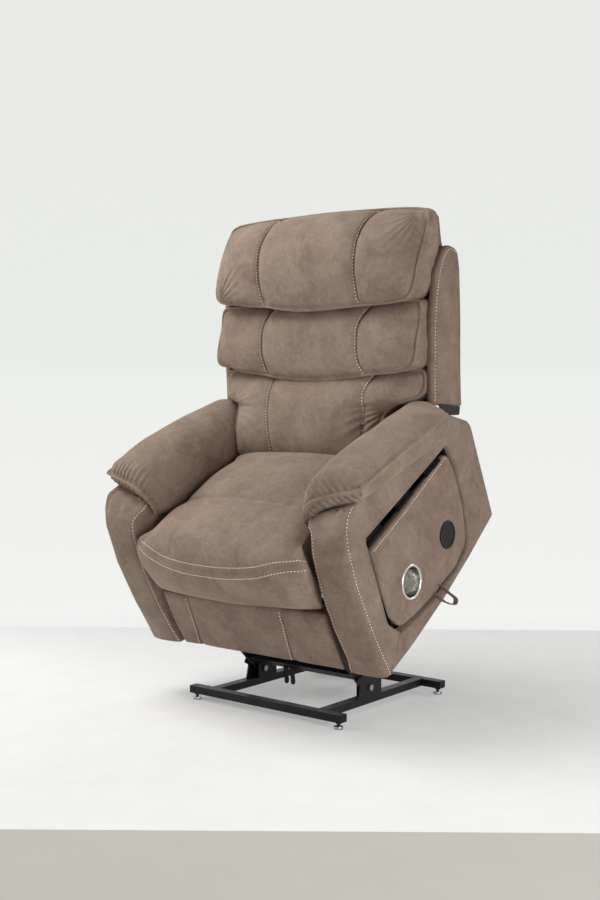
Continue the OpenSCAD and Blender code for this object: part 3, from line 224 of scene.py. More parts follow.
def cushion(name, face, rear, finish, sides=6, swell=0.0):
    """A closed piece from two grids of points, joined round their edges by a boxing strip."""
    rows, columns = face.shape[:2]
    edge = perimeter(rows, columns)
    verts = [face.reshape(-1, 3), rear.reshape(-1, 3)]
    size = rows * columns
    at = [[j * columns + i for j, i in edge]]
    face_edge = np.array([face[j, i] for j, i in edge])
    rear_edge = np.array([rear[j, i] for j, i in edge])
    out = face_edge - face_edge.mean(0)
    depth = rear_edge.mean(0) - face_edge.mean(0)
    depth /= np.linalg.norm(depth)
    out -= (out @ depth)[:, None] * depth
    out /= np.maximum(np.linalg.norm(out, axis=1, keepdims=True), 1e-9)
    for k in range(1, sides):
        f = k / sides
        verts.append(face_edge * (1 - f) + rear_edge * f + out * swell * math.sin(math.pi * f))
        first = 2 * size + (k - 1) * len(edge)
        at.append([first + i for i in range(len(edge))])
    at.append([size + j * columns + i for j, i in edge])
    faces = stack_faces(rows, columns, closed=False)
    faces += [tuple(size + i for i in reversed(f)) for f in stack_faces(rows, columns, closed=False)]
    for a, b in zip(at[:-1], at[1:]):
        for i in range(len(edge)):
            k = (i + 1) % len(edge)
            faces.append((a[i], a[k], b[k], b[i]))
    return mesh_piece(name, np.vstack(verts), faces, finish)


def tube(name, paths, radius, finish, sides=10):
    """Round cord along each path of points in metres."""
    verts, faces = [], []
    for path in paths:
        path = np.asarray(path, float)
        tangent = np.gradient(path, axis=0)
        tangent /= np.maximum(np.linalg.norm(tangent, axis=1, keepdims=True), 1e-12)
        side = np.cross(tangent[0], [0.3, 0.5, 0.81])
        first = len(verts)
        for point, t in zip(path, tangent):
            side = side - (side @ t) * t
            side /= np.linalg.norm(side)
            up = np.cross(t, side)
            for k in range(sides):
                a = 2 * math.pi * k / sides
                verts.append(point + (side * math.cos(a) + up * math.sin(a)) * radius * MM)
        rows = len(path)
        faces += [tuple(first + i for i in f) for f in stack_faces(rows, sides)]
        faces.append(tuple(first + i for i in range(sides)))
        faces.append(tuple(first + (rows - 1) * sides + i for i in range(sides)))
    return mesh_piece(name, verts, faces, finish)


def surface_of(*pieces):
    """A search tree over the pieces' own meshes."""
    verts, faces = [], []
    for piece in pieces:
        first = len(verts)
        verts += [v.co.copy() for v in piece.data.vertices]
        faces += [[first + i for i in f.vertices] for f in piece.data.polygons]
    return BVHTree.FromPolygons(verts, faces)


def laid(path, tree, lift):
    """A path moved onto the nearest skin, lift millimetres proud of it."""
    out = []
    for point in np.asarray(path, float):
        place, normal, _, _ = tree.find_nearest(tuple(point))
        out.append(np.array(place) + np.array(normal) * lift * MM)
    return np.array(out)


def sided(points, side):
    """Points of the left side, kept there (1) or mirrored to the right side (-1)."""
    return np.asarray(points, float) * (side, 1, 1)


def dress(piece, body, slot, *nodes, fill=None):
    """Puts a finished piece on its body, in place of its CAD nodes. Its slot is not used."""
    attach(piece, body)
    if nodes:
        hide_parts(*nodes)


# ---- finishes -----------------------------------------------------------------------------------

def colour(code):
    """Linear colour with full alpha from an sRGB hex code."""
    channels = [int(code[i:i + 2], 16) / 255 for i in (1, 3, 5)]
    return [c / 12.92 if c <= 0.04045 else ((c + 0.055) / 1.055) ** 2.4 for c in channels] + [1.0]


def node(tree, kind, links=(), **values):
    """Adds a node. values set its properties or inputs; links are (input, output socket) pairs."""
    made = tree.nodes.new(kind)
    for key, value in values.items():
        label = key.replace("_", " ")
        if hasattr(made, key) and key not in ("inputs", "outputs"):
            setattr(made, key, value)
        else:
            made.inputs[label].default_value = value
    for socket, source in links:
        tree.links.new(source, made.inputs[socket])
    return made


def cleared(owner):
    """The node tree of a material or a world, emptied."""
    owner.use_nodes = True
    owner.node_tree.nodes.clear()
    return owner.node_tree


def new_finish(name, **surface):
    """A material with only its shader; surface sets the shader's inputs."""
    finish = bpy.data.materials.new(name)
    tree = cleared(finish)
    shader = node(tree, "ShaderNodeBsdfPrincipled", **surface)
    node(tree, "ShaderNodeOutputMaterial", [("Surface", shader.outputs["BSDF"])])
    return finish, tree, shader, tree.nodes.new("ShaderNodeTexCoord").outputs["Object"]


def noise(tree, place, **settings):
    """The grey value of a noise texture."""
    return node(tree, "ShaderNodeTexNoise", [("Vector", place)], **settings).outputs["Fac"]


def ramp(tree, source, stops):
    """Colours along a texture's range, from (position, sRGB code) stops."""
    made = node(tree, "ShaderNodeValToRGB", [("Fac", source)])
    band = made.color_ramp
    while len(band.elements) < len(stops):
        band.elements.new(0.5)
    for element, (at, code) in zip(band.elements, stops):
        element.position = at
        element.color = colour(code)
    return made.outputs["Color"]


def spread(tree, source, low, high):
    """Maps a texture's middle range to the range low to high."""
    return node(tree, "ShaderNodeMapRange", [("Value", source)],
                From_Min=0.3, From_Max=0.7, To_Min=low, To_Max=high).outputs["Result"]


def wire(tree, shader, tone, rough, height, strength, distance):
    """Gives a shader its colour, its roughness and the fine relief of its surface."""
    relief = node(tree, "ShaderNodeBump", [("Height", height)], Strength=strength, Distance=distance)
    for label, source in (("Base Color", tone), ("Roughness", rough), ("Normal", relief.outputs["Normal"])):
        tree.links.new(source, shader.inputs[label])


def suede(name, dark, middle, light):
    """Microfibre suede: brushed nap in soft patches, fine cross-hatched fibres, a little sheen."""
    finish, tree, shader, place = new_finish(
        name, Specular_IOR_Level=0.25, Sheen_Weight=0.22, Sheen_Roughness=0.45, Sheen_Tint=colour("#d8cabd"))
    patches = noise(tree, place, Scale=11.0, Detail=4.0, Roughness=0.55, Distortion=0.6)
    brushed = noise(tree, place, Scale=55.0, Detail=3.0, Roughness=0.6, Distortion=1.2)
    fibres = noise(tree, place, Scale=1500.0, Detail=2.0, Roughness=0.7)
    both = node(tree, "ShaderNodeMix", [(2, patches), (3, brushed)], Factor=0.42)
    tone = ramp(tree, both.outputs[0], [(0.36, dark), (0.5, middle), (0.64, light)])
    shade = ramp(tree, fibres, [(0.3, "#a8a19b"), (0.7, "#ffffff")])
    nap = node(tree, "ShaderNodeMix", [(6, tone), (7, shade)], data_type="RGBA", blend_type="MULTIPLY",
               Factor=0.22)
    height = node(tree, "ShaderNodeMix", [(2, brushed), (3, fibres)], Factor=0.4)
    wire(tree, shader, nap.outputs[2], spread(tree, brushed, 0.82, 0.98), height.outputs[0], 0.35, 0.0012)
    return finish


def uneven_finish(name, stops, rough, relief, tone, grain=None, stretch=None, **surface):
    """A material whose colour and roughness follow the texture tone, and its relief grain, or tone too.

    rough is the range of the roughness, relief its strength and depth, and stretch draws the textures out.
    """
    finish, tree, shader, place = new_finish(name, **surface)
    if stretch:
        place = node(tree, "ShaderNodeMapping", [("Vector", place)], Scale=stretch).outputs["Vector"]
    uneven = noise(tree, place, **tone)
    fine = noise(tree, place, **grain) if grain else uneven
    wire(tree, shader, ramp(tree, uneven, stops), spread(tree, uneven, *rough), fine, *relief)
    return finish


WEAR = dict(Scale=24.0, Detail=5.0, Roughness=0.65)
DUST = dict(Scale=30.0, Detail=4.0)
STREAKS = dict(Scale=1.0, Detail=4.0)
MOULDED = dict(relief=(0.2, 0.0003), tone=DUST, Specular_IOR_Level=0.14)

taupe_suede = suede("taupe_microfibre_suede", "#7b695c", "#8a7869", "#978678")
# Painted shade: the same suede made a little darker, for the covers of the sides, fronts and rear.
side_suede_painted_shade = suede("taupe_microfibre_suede_painted_shade", "#746356", "#837163", "#907f71")
black_steel = uneven_finish(
    "black_powder_coated_steel", [(0.35, "#0c0c0d"), (0.7, "#18191a")], (0.32, 0.5), (0.18, 0.0004),
    WEAR, grain=dict(Scale=900.0, Detail=2.0), Specular_IOR_Level=0.22)
zinc_steel = uneven_finish(
    "zinc_plated_steel", [(0.3, "#8e9092"), (0.7, "#b9bcbe")], (0.24, 0.38), (0.08, 0.0003),
    STREAKS, stretch=(400.0, 400.0, 60.0), Metallic=1.0)
cup_steel = uneven_finish(
    "spun_stainless_steel", [(0.3, "#b9b9b4"), (0.7, "#dcdcd6")], (0.14, 0.28), (0.015, 0.0003),
    STREAKS, stretch=(700.0, 6.0, 6.0), Metallic=1.0)
black_plastic = uneven_finish(
    "black_abs_plastic", [(0.35, "#111213"), (0.7, "#1b1c1e")], (0.37, 0.5),
    grain=dict(Scale=2200.0, Detail=2.0), **MOULDED)
lining = uneven_finish(
    "black_lining_cloth", [(0.35, "#0e0e0f"), (0.7, "#161617")], (0.85, 0.98),
    grain=dict(Scale=1200.0, Detail=2.0), **MOULDED)
plywood = uneven_finish(
    "birch_plywood", [(0.3, "#a5834f"), (0.5, "#c6a673"), (0.7, "#d8bd8d")], (0.6, 0.75), (0.15, 0.0004),
    dict(Scale=1.2, Detail=6.0, Distortion=0.8), stretch=(60.0, 8.0, 60.0))
thread = uneven_finish(
    "cream_sewing_thread", [(0.3, "#ddd3c6"), (0.7, "#fbf6ee")], (0.6, 0.8), (0.4, 0.0003),
    dict(Scale=1800.0, Detail=2.0))


# ---- stitching ----------------------------------------------------------------------------------

def stitch_tree():
    """Geometry Nodes: lines of points become rows of thread stitches that sink at both ends."""
    tree = bpy.data.node_groups.new("thread_stitches", "GeometryNodeTree")
    face = tree.interface
    face.new_socket("Seam lines", in_out="INPUT", socket_type="NodeSocketGeometry")
    for label in ("Stitch pitch", "Stitch length", "Thread radius"):
        face.new_socket(label, in_out="INPUT", socket_type="NodeSocketFloat")
    face.new_socket("Thread", in_out="INPUT", socket_type="NodeSocketMaterial")
    face.new_socket("Stitches", in_out="OUTPUT", socket_type="NodeSocketGeometry")
    given = tree.nodes.new("NodeGroupInput").outputs
    line = node(tree, "GeometryNodeMeshToCurve", [("Mesh", given["Seam lines"])])
    dots = node(tree, "GeometryNodeResampleCurve",
                [("Curve", line.outputs["Curve"]), ("Length", given["Stitch pitch"])], mode="LENGTH")
    tangent = node(tree, "GeometryNodeInputTangent")
    turn = node(tree, "FunctionNodeAlignRotationToVector", [("Vector", tangent.outputs[0])], axis="Z")
    half = node(tree, "ShaderNodeMath", [(0, given["Stitch length"])], operation="MULTIPLY")
    half.inputs[1].default_value = 0.5
    shape = node(tree, "ShaderNodeCombineXYZ", [
        ("X", given["Thread radius"]), ("Y", given["Thread radius"]), ("Z", half.outputs[0])])
    bead = node(tree, "GeometryNodeMeshUVSphere", Segments=8, Rings=5, Radius=1.0)
    put = node(tree, "GeometryNodeInstanceOnPoints", [
        ("Points", dots.outputs["Curve"]), ("Instance", bead.outputs["Mesh"]),
        ("Rotation", turn.outputs["Rotation"]), ("Scale", shape.outputs[0])])
    real = node(tree, "GeometryNodeRealizeInstances", [("Geometry", put.outputs["Instances"])])
    paint = node(tree, "GeometryNodeSetMaterial", [
        ("Geometry", real.outputs["Geometry"]), ("Material", given["Thread"])])
    node(tree, "NodeGroupOutput", [("Stitches", paint.outputs["Geometry"])])
    return tree


STITCHES = stitch_tree()
STITCH_VALUES = {"Stitch pitch": 9.6 * MM, "Stitch length": 5.0 * MM, "Thread radius": 1.3 * MM,
                 "Thread": thread}
STITCH_ASIDE = 5.5              # how far a row of stitches lies beside its seam
rows_of_stitches = {}


def sew(body, path):
    """Keeps a row of stitches for one body, as points in metres."""
    rows_of_stitches.setdefault(body, []).append(np.asarray(path, float))


def make_stitches(body, paths):
    """Turns a body's rows into one piece of thread."""
    verts, edges = [], []
    for path in paths:
        first = len(verts)
        verts += [tuple(p) for p in path]
        edges += [(first + i, first + i + 1) for i in range(len(path) - 1)]
    lines = bpy.data.meshes.new("seam_lines_" + body)
    lines.from_pydata(verts, edges, [])
    source = placed("seam_lines_" + body, lines)
    modifier = source.modifiers.new("stitches", "NODES")
    modifier.node_group = STITCHES
    for item in STITCHES.interface.items_tree:
        if item.in_out == "INPUT" and item.name in STITCH_VALUES:
            modifier[item.identifier] = STITCH_VALUES[item.name]
    made = modified(source)
    made.name = "stitches_" + body
    made.shade_smooth()
    piece = placed("stitches_" + body, made)
    bpy.data.objects.remove(source)
    dress(piece, body, "suede")


# ---- padded pieces ------------------------------------------------------------------------------

def chair_local(points):
    """Points in metres in the part's frame, as millimetres in the chair's own frame."""
    p = np.asarray(points, float) / MM - (0, CHAIR_Y, CHAIR_Z)
    y = p[..., 1] * math.cos(TILT) + p[..., 2] * math.sin(TILT)
    z = -p[..., 1] * math.sin(TILT) + p[..., 2] * math.cos(TILT)
    return np.stack([p[..., 0], y, z], -1)


def back_local(points):
    """Points in metres in the part's frame, as x, forward depth, height in the backrest's frame."""
    p = chair_local(points) - (0, BACK_Y, BACK_Z)
    depth = -p[..., 1] * math.cos(LEAN) + p[..., 2] * math.sin(LEAN)
    height = p[..., 1] * math.sin(LEAN) + p[..., 2] * math.cos(LEAN)
    return np.stack([p[..., 0], depth, height], -1)


def places(mesh, what="co"):
    """The mesh's points, or with "normal" their normals, as rows."""
    flat = np.empty(len(mesh.vertices) * 3)
    mesh.vertices.foreach_get(what, flat)
    return flat.reshape(-1, 3)


def distance_to(points, line):
    """Shortest distance from each point to a line of samples."""
    tree = KDTree(len(line))
    for index, sample in enumerate(line):
        tree.insert(sample, index)
    tree.balance()
    return np.array([tree.find(point)[2] for point in points])


CLOTH_FRAMES = 20


def inflate(piece, held, cap):
    """Blows the padded cover up as cloth. Held points (1) stay on their seams, and none moves past the cap."""
    group = piece.vertex_groups.new(name="held")
    for index, weight in enumerate(held):
        group.add([index], float(weight), "REPLACE")
    cloth = piece.modifiers.new("cloth", "CLOTH")
    fabric = cloth.settings
    fabric.quality = 4
    fabric.mass = 0.25
    fabric.tension_stiffness = fabric.compression_stiffness = 30
    fabric.shear_stiffness = 12
    fabric.bending_stiffness = 1.5
    fabric.use_pressure = True
    fabric.uniform_pressure_force = 4.0
    fabric.vertex_group_mass = "held"
    fabric.effector_weights.gravity = 0
    cloth.collision_settings.use_collision = False
    cloth.point_cache.frame_start, cloth.point_cache.frame_end = 1, CLOTH_FRAMES
    for number in range(1, CLOTH_FRAMES + 1):
        bpy.context.scene.frame_set(number)
    blown = piece.evaluated_get(bpy.context.evaluated_depsgraph_get())
    before, after = places(piece.data), places(blown.data)
    piece.modifiers.clear()
    piece.vertex_groups.clear()
    move = after - before
    size = np.linalg.norm(move, axis=1, keepdims=True)
    move *= np.minimum(1, cap * MM / np.maximum(size, 1e-9))
    print(piece.name, "cloth moved up to", round(float(size.max() / MM), 1), "mm, mean",
          round(float(size.mean() / MM), 2))
    piece.data.vertices.foreach_set("co", (before + move).ravel())
    piece.data.update()
    bpy.context.scene.frame_set(1)


def soften(piece, held, to_local, relief, cap):
    """Inflates a cover, smooths it by one subdivision, then presses its seams, pleats and dimples in."""
    inflate(piece, held, cap)
    finer = piece.modifiers.new("finer", "SUBSURF")
    finer.levels = finer.render_levels = 1
    made = modified(piece)
    piece.modifiers.clear()
    old = piece.data
    piece.data = made
    made.name = piece.name
    bpy.data.meshes.remove(old)
    at, facing = places(made), places(made, "normal")
    local = to_local(at)
    push = relief(local, to_local(at + facing * MM) - local)
    made.vertices.foreach_set("co", (at + facing * push[:, None] * MM).ravel())
    made.shade_smooth()
    made.update()


OUTSIDE = 0.09                  # metres from which a row of stitches is looked for on a pillow


def sunk(path, hearts, tree, lift):
    """A path laid on the skin, seen along the lines from outside to the hearts; lift is in millimetres."""
    out = []
    for point, heart in zip(np.asarray(path, float), np.asarray(hearts, float)):
        way = (heart - point) / np.linalg.norm(heart - point)
        place, normal, _, _ = tree.ray_cast(tuple(point - way * OUTSIDE), tuple(way))
        if place is not None:
            out.append(np.array(place) + np.array(normal) * lift * MM)
    return np.array(out)


def pleats(a, b, at, reach, count, seed):
    """Small folds of uneven length and strength that fan out from a point and die away, about -1 to 1."""
    away = np.hypot(a - at[0], b - at[1])
    turn = np.arctan2(b - at[1], a - at[0])
    strong = np.clip(0.5 + 0.9 * waves(turn * 2.6, away / 160, seed + 3), 0, 1)
    fold = np.sin(turn * count + 2.6 * waves(a / 40, b / 40, seed)) + 0.35 * waves(a / 15, b / 15, seed + 1)
    fade = bump(away, 0, reach * (0.55 + 0.75 * strong)) * step(away, 5, 5 + 0.3 * reach)
    return fold * fade * (0.25 + 0.75 * strong)


# ---- backrest pillows ---------------------------------------------------------------------------

PILLOW_HALF = 366.0
PILLOW_REAR = 62.0
LOOP_TALL = 300.0               # height to which a pillow's loop is drawn out where its angles are measured
FULL_LOOP = [(0, 0), (0.45, 0), (0.8, 0.0), (0.925, 0.012), (0.975, 0.055), (0.995, 0.13), (1, 0.25), (1, 0.5),
             (1, 0.75), (0.998, 0.9), (0.985, 0.965), (0.94, 0.995), (0.8, 1.0), (0.45, 1.0), (0, 1.0)]
LUMBAR_LOOP = [(0, 0), (0.4, 0), (0.62, 0.0), (0.70, 0.02), (0.725, 0.08), (0.73, 0.2), (0.735, 0.38),
               (0.75, 0.52), (0.80, 0.59), (0.88, 0.625), (0.955, 0.69), (0.99, 0.77), (1.0, 0.86),
               (0.998, 0.95), (0.97, 0.992), (0.85, 1.0), (0.45, 1.0), (0, 1.0)]
HEAD_SEAMS = [[(290, -136), (320, -139), (347, -148), (393, -158), (435, -165), (486, -166), (538, -162),
               (580, -168)],
              [(290, 205), (313, 202), (346, 199), (390, 191), (438, 190), (486, 188), (525, 192), (558, 199),
               (580, 206)]]
MIDDLE_SEAMS = [[(85, -137), (118, -144), (167, -157), (214, -161), (260, -161), (305, -155)],
                [(85, 213), (111, 207), (133, 196), (172, 189), (216, 187), (259, 190), (293, 202), (310, 207)]]
LUMBAR_SEAMS = [[(-150, -90), (-108, -98), (-52, -109), (-1, -120), (49, -127), (110, -131)],
                [(-150, 237), (-60, 229), (-25, 224), (13, 221), (60, 214), (110, 224)]]


def seam_gap(local, seams):
    """Distance across to the nearest seam, for points x, depth, height."""
    gap = np.full(local.shape[:-1], 1e3)
    for line in seams:
        rows = np.array(line, float)
        gap = np.minimum(gap, np.abs(local[..., 0] - np.interp(local[..., 2], rows[:, 0], rows[:, 1])))
    return gap


def pillow(label, side, middle, low_edge, loop, seams, dip, folds, seed):
    """One boxed back pillow: a crowned face inside its piping, a strip round it, and a back against the frame.

    side and middle are (depth, height) lines from the lower piping up; loop is half of the piping's path in
    shares of the face; folds are (x, height, reach, count, size) fans of small pleats.
    """
    columns, rows = 124, 64
    side_line, middle_line = smooth(side, 200), smooth(middle, 200)
    shares = np.linspace(0, 1, 200)
    half_loop = np.array(loop, float)
    whole = np.vstack([half_loop, half_loop[-2:0:-1] * (-1, 1)])
    path = smooth(whole * (PILLOW_HALF, LOOP_TALL), 600, closed=True) - (0, LOOP_TALL / 2)
    angles = np.unwrap(np.arctan2(path[:, 1], path[:, 0]))
    sides = half_loop[(half_loop[:, 0] > 0.6) & (half_loop[:, 1] > 0.004) & (half_loop[:, 1] < 0.996)]
    low = np.array(low_edge, float)

    def face(u, t):
        """A point of the crowned face, at shares u of its half width and t of its height."""
        bow = np.sqrt(np.clip(1 - np.abs(u) ** 3, 0, 1))
        line = [np.interp(t, shares, side_line[:, k])
                + (np.interp(t, shares, middle_line[:, k]) - np.interp(t, shares, side_line[:, k])) * bow
                for k in (0, 1)]
        x = u * PILLOW_HALF
        foot = side_line[0, 1] + (middle_line[0, 1] - side_line[0, 1]) * bow
        height = line[1] + (np.interp(x, low[:, 0], low[:, 1]) - foot) * np.clip(1 - t / 0.4, 0, 1) ** 2
        return np.stack([x, line[0], height], -1)

    def on_loop(angle):
        """Shares u and t of the loop's point at an angle round its middle."""
        turn = angles[0] + (angle - angles[0]) % (2 * math.pi)
        u, t = (np.interp(turn, np.append(angles, angles[0] + 2 * math.pi), np.append(path[:, k], path[0, k]))
                for k in (0, 1))
        return u / PILLOW_HALF, np.clip(t / LOOP_TALL + 0.5, 0, 1)

    def piped(u, t):
        """The piping's place at a point of the loop."""
        widest = np.interp(t, sides[:, 1], sides[:, 0])
        share = np.clip(1 - (np.abs(u) / widest) ** 2.2, 0, 1)
        place = face(u, t)
        side_depth = np.interp(t, shares, side_line[:, 0])
        place[..., 1] = side_depth + (np.interp(t, shares, middle_line[:, 0]) - side_depth) * share
        return place

    a, b = np.meshgrid(np.linspace(-1, 1, columns), np.linspace(-1, 1, rows))
    r = np.maximum(np.maximum(np.abs(a), np.abs(b)), 1e-6)
    u_edge, t_edge = on_loop(np.arctan2(b / r * LOOP_TALL / 2, a / r * PILLOW_HALF))
    edge = piped(u_edge, t_edge)
    reach = r ** 0.9
    flattened = (face(u_edge, t_edge) - edge) * reach[..., None] ** 6
    front_face = face(u_edge * reach, 0.5 + (t_edge - 0.5) * reach) - flattened
    outward = np.stack([u_edge, np.zeros_like(u_edge), (t_edge - 0.5) * 2], -1)
    outward /= np.linalg.norm(outward, axis=-1, keepdims=True)
    centre = edge.reshape(-1, 3).mean(0)
    back_face = centre + (edge + outward * 2 - centre) * r[..., None]
    back_face[..., 1] = PILLOW_REAR
    piece = cushion(label, from_back(front_face), from_back(back_face), taupe_suede, sides=9, swell=0.006)
    piping = piped(*on_loop(np.linspace(angles[0], angles[0] + 2 * math.pi, 420)))
    local = back_local(places(piece.data))
    held = np.where((distance_to(local, piping) < 5) | (local[:, 1] < PILLOW_REAR + 12), 1.0, 0.0)
    held = np.maximum(held, 0.85 * bump(seam_gap(local, seams), 0, 9))

    def relief(at, facing):
        x, depth, height = at.T
        gap, rim = seam_gap(at, seams), distance_to(at, piping)
        front = step(facing[:, 1] + 0.6 * np.maximum(facing[:, 2], 0), 0.05, 0.5) * step(depth, 75, 110)
        inside = step(rim, 3, 22)
        push = -dip * (0.55 * bump(gap, 0, 6) + 0.45 * bump(gap, 0, 24)) * (0.3 + 0.7 * inside)
        push += 1.0 * waves(height / 12, x / 60, seed) * bump(gap, 0, 30) * inside
        for fold_x, fold_height, reach, count, size in folds:
            push += size * pleats(x, height, (fold_x, fold_height), reach, count, seed + int(abs(fold_x)))
        bottom = bump(height, np.interp(x, low[:, 0], low[:, 1]), 34) * step(rim, 2, 14)
        push += 1.1 * bottom * np.sin(x / 6.5 + 2.0 * waves(x / 50, height / 50, seed + 2))
        push += 1.4 * waves(x / 70, height / 55, seed + 3) * inside
        push -= 3.2 * bump(rim, 9, 4)
        strip = step(rim, 4, 16) * (1 - front) * step(depth, 70, 90)
        return push * front + strip * 1.3 * np.sin(height / 8.5 + 2.4 * waves(height / 50, depth / 30, seed + 5))

    soften(piece, held, back_local, relief, cap=9.0)
    tree = surface_of(piece)
    t = np.linspace(0.03, 0.985, 90)
    for line in seams:
        marks = np.array(line, float)
        x = np.full(len(t), marks[:, 1].mean())
        for _ in range(3):
            x = np.interp(face(x / PILLOW_HALF, t)[:, 2], marks[:, 0], marks[:, 1])
        path = face(x / PILLOW_HALF, t) - (STITCH_ASIDE, 0, 0)
        heart = np.column_stack([path[:, 0], np.full(len(t), 95.0), centre[2] + (path[:, 2] - centre[2]) * 0.72])
        sew("backrest", sunk(from_back(path), from_back(heart), tree, 0.4))
    return piece, from_back(piping)


head, head_piping = pillow(
    "head_pillow_cover",
    side=[(200, 327), (196, 345), (190, 371), (181, 400), (162, 440), (134, 488), (116, 528), (100, 556)],
    middle=[(238, 296), (247, 306), (252, 330), (252, 366), (249, 408), (241, 450), (226, 490), (203, 526),
            (174, 554), (140, 570), (100, 576)],
    low_edge=[(-366, 330), (-340, 327), (-277, 322), (-208, 315), (-134, 310), (-69, 300), (-11, 294), (52, 294),
              (127, 298), (199, 301), (270, 304), (339, 312), (366, 322)],
    loop=FULL_LOOP, seams=HEAD_SEAMS, dip=15, seed=11,
    folds=[(350, 322, 95, 34, 2.6), (-350, 332, 90, 30, 2.2), (-345, 560, 70, 22, 1.5), (350, 556, 70, 24, 1.8)])

middle, middle_piping = pillow(
    "middle_pillow_cover",
    side=[(202, 128), (200, 148), (195, 178), (184, 215), (172, 248), (166, 283), (160, 312)],
    middle=[(230, 92), (240, 102), (244, 128), (245, 160), (243, 196), (236, 232), (224, 262), (206, 288),
            (176, 306), (150, 312)],
    low_edge=[(-366, 134), (-330, 132), (-303, 130), (-254, 116), (-172, 109), (-106, 99), (-21, 92), (62, 90),
              (149, 97), (227, 106), (303, 111), (355, 121), (366, 126)],
    loop=FULL_LOOP, seams=MIDDLE_SEAMS, dip=13, seed=23,
    folds=[(350, 126, 85, 32, 2.4), (-350, 136, 85, 30, 2.2)])

lumbar, lumbar_piping = pillow(
    "lumbar_pillow_cover",
    side=[(236, -150), (244, -122), (244, -80), (236, -40), (218, -8), (188, 16), (164, 38), (155, 62),
          (154, 90), (152, 116)],
    middle=[(250, -158), (268, -150), (282, -124), (288, -94), (286, -55), (277, -14), (266, 22), (252, 58),
            (232, 88), (206, 108), (170, 116)],
    low_edge=[(-262, -150), (-100, -154), (125, -154), (262, -150)],
    loop=LUMBAR_LOOP, seams=LUMBAR_SEAMS, dip=10, seed=37,
    folds=[(300, 10, 90, 28, 2.2), (-300, 10, 90, 28, 2.0), (345, 44, 60, 24, 1.2), (-345, 44, 60, 24, 1.2)])

# ---- seat cushion -------------------------------------------------------------------------------

SEAT_TOP = 398.0
SEAT_BOTTOM = 252.0
SEAT_REAR = 440.0
SEAT_HALF = 268.0
EAR_HALF = 300.0                # half width of the front roll, which laps over the arm fronts
SEAT_CREASE = 202.0             # how far back the crease across the seat lies
SEAT_STITCHES = [
    [(-281, 8, 402), (-262, 3, 397), (-215, -10, 386), (-160, -24, 378), (-100, -33, 375), (-40, -38, 374),
     (40, -38, 374), (100, -34, 375), (160, -26, 378), (215, -9, 385), (255, 0, 388), (280, 14, 382),
     (297, 31, 366)],
    [(-282, -8, 378), (-262, -16, 370), (-215, -29, 359), (-160, -38, 350), (-100, -46, 345), (-40, -49, 343),
     (40, -49, 343), (100, -46, 345), (160, -39, 349), (215, -26, 358), (255, -12, 360), (282, 4, 355),
     (297, 15, 349)]]


def seat_section(x, count):
    """Closed side outline of the seat cushion at x: rear top, front roll, drop front, underside."""
    u = min(abs(x) / SEAT_HALF, 1)
    v = abs(x) / EAR_HALF
    sweep, low = 40 * v * v + 10 * v ** 8, 26 * v * v
    crown = 18 - 14 * u * u - 22 * u ** 6
    rear_crown = 18 - 16 * u * u - 44 * u ** 5
    top = SEAT_TOP
    rows = [
        (SEAT_REAR + 24, top - 42 + crown), (SEAT_REAR - 6, top - 26 + rear_crown),
        (SEAT_REAR - 60, top - 13 + rear_crown), (330, top - 3 + rear_crown), (265, top + 4 + rear_crown),
        (SEAT_CREASE, top + 5 + (crown + rear_crown) / 2), (150, top + 9 + crown), (95, top + 11 + crown),
        (42 + sweep * 0.1, top + 7 + crown), (6 + sweep * 0.35, top + crown * 0.8),
        (-18 + sweep * 0.8, top - 9 + crown / 2), (-33 + sweep, top - 22), (-40 + sweep, top - 38),
        (-47 + sweep, top - 55), (-50 + sweep, top - 74), (-51 + sweep, top - 98), (-47 + sweep, top - 126),
        (-39 + sweep, 246 - low), (-27 + sweep * 0.9, 239 - low), (-10 + sweep * 0.6, 236 - low),
        (14 + sweep * 0.2, 236 - low / 2), (40, 240), (50, SEAT_BOTTOM), (150, SEAT_BOTTOM), (300, SEAT_BOTTOM),
        (SEAT_REAR, SEAT_BOTTOM), (SEAT_REAR + 20, SEAT_BOTTOM + 14)]
    return smooth(rows, count, closed=True)


def seat_ring(x, count):
    """The seat's outline at x, rounded off at both sides, its front roll kept clear of the arm fronts."""
    line = seat_section(x, count)
    a = abs(x)
    shrink = (6 * step(a, 240, 268) * step(line[:, 0], 45, 110))[:, None]
    if a > EAR_HALF - 10:
        shrink = 12 * (1 - math.sqrt(max(0, 1 - ((a - EAR_HALF + 10) / 10) ** 2)))
    centre = np.where(line[:, :1] > 60, np.stack([line[:, 0], np.full(len(line), 325.0)], -1), [[0.0, 320.0]])
    away = line - centre
    line = line - away / np.maximum(np.linalg.norm(away, axis=1, keepdims=True), 1) * shrink
    if a >= SEAT_HALF:
        limit = 6 + (SEAM_X - a) * 1.35
        over = line[:, 0] > limit
        line[over, 0] = limit
        line[over, 1] = np.clip(line[over, 1], 250, SEAT_TOP - 12)
    return at_x(x, line)


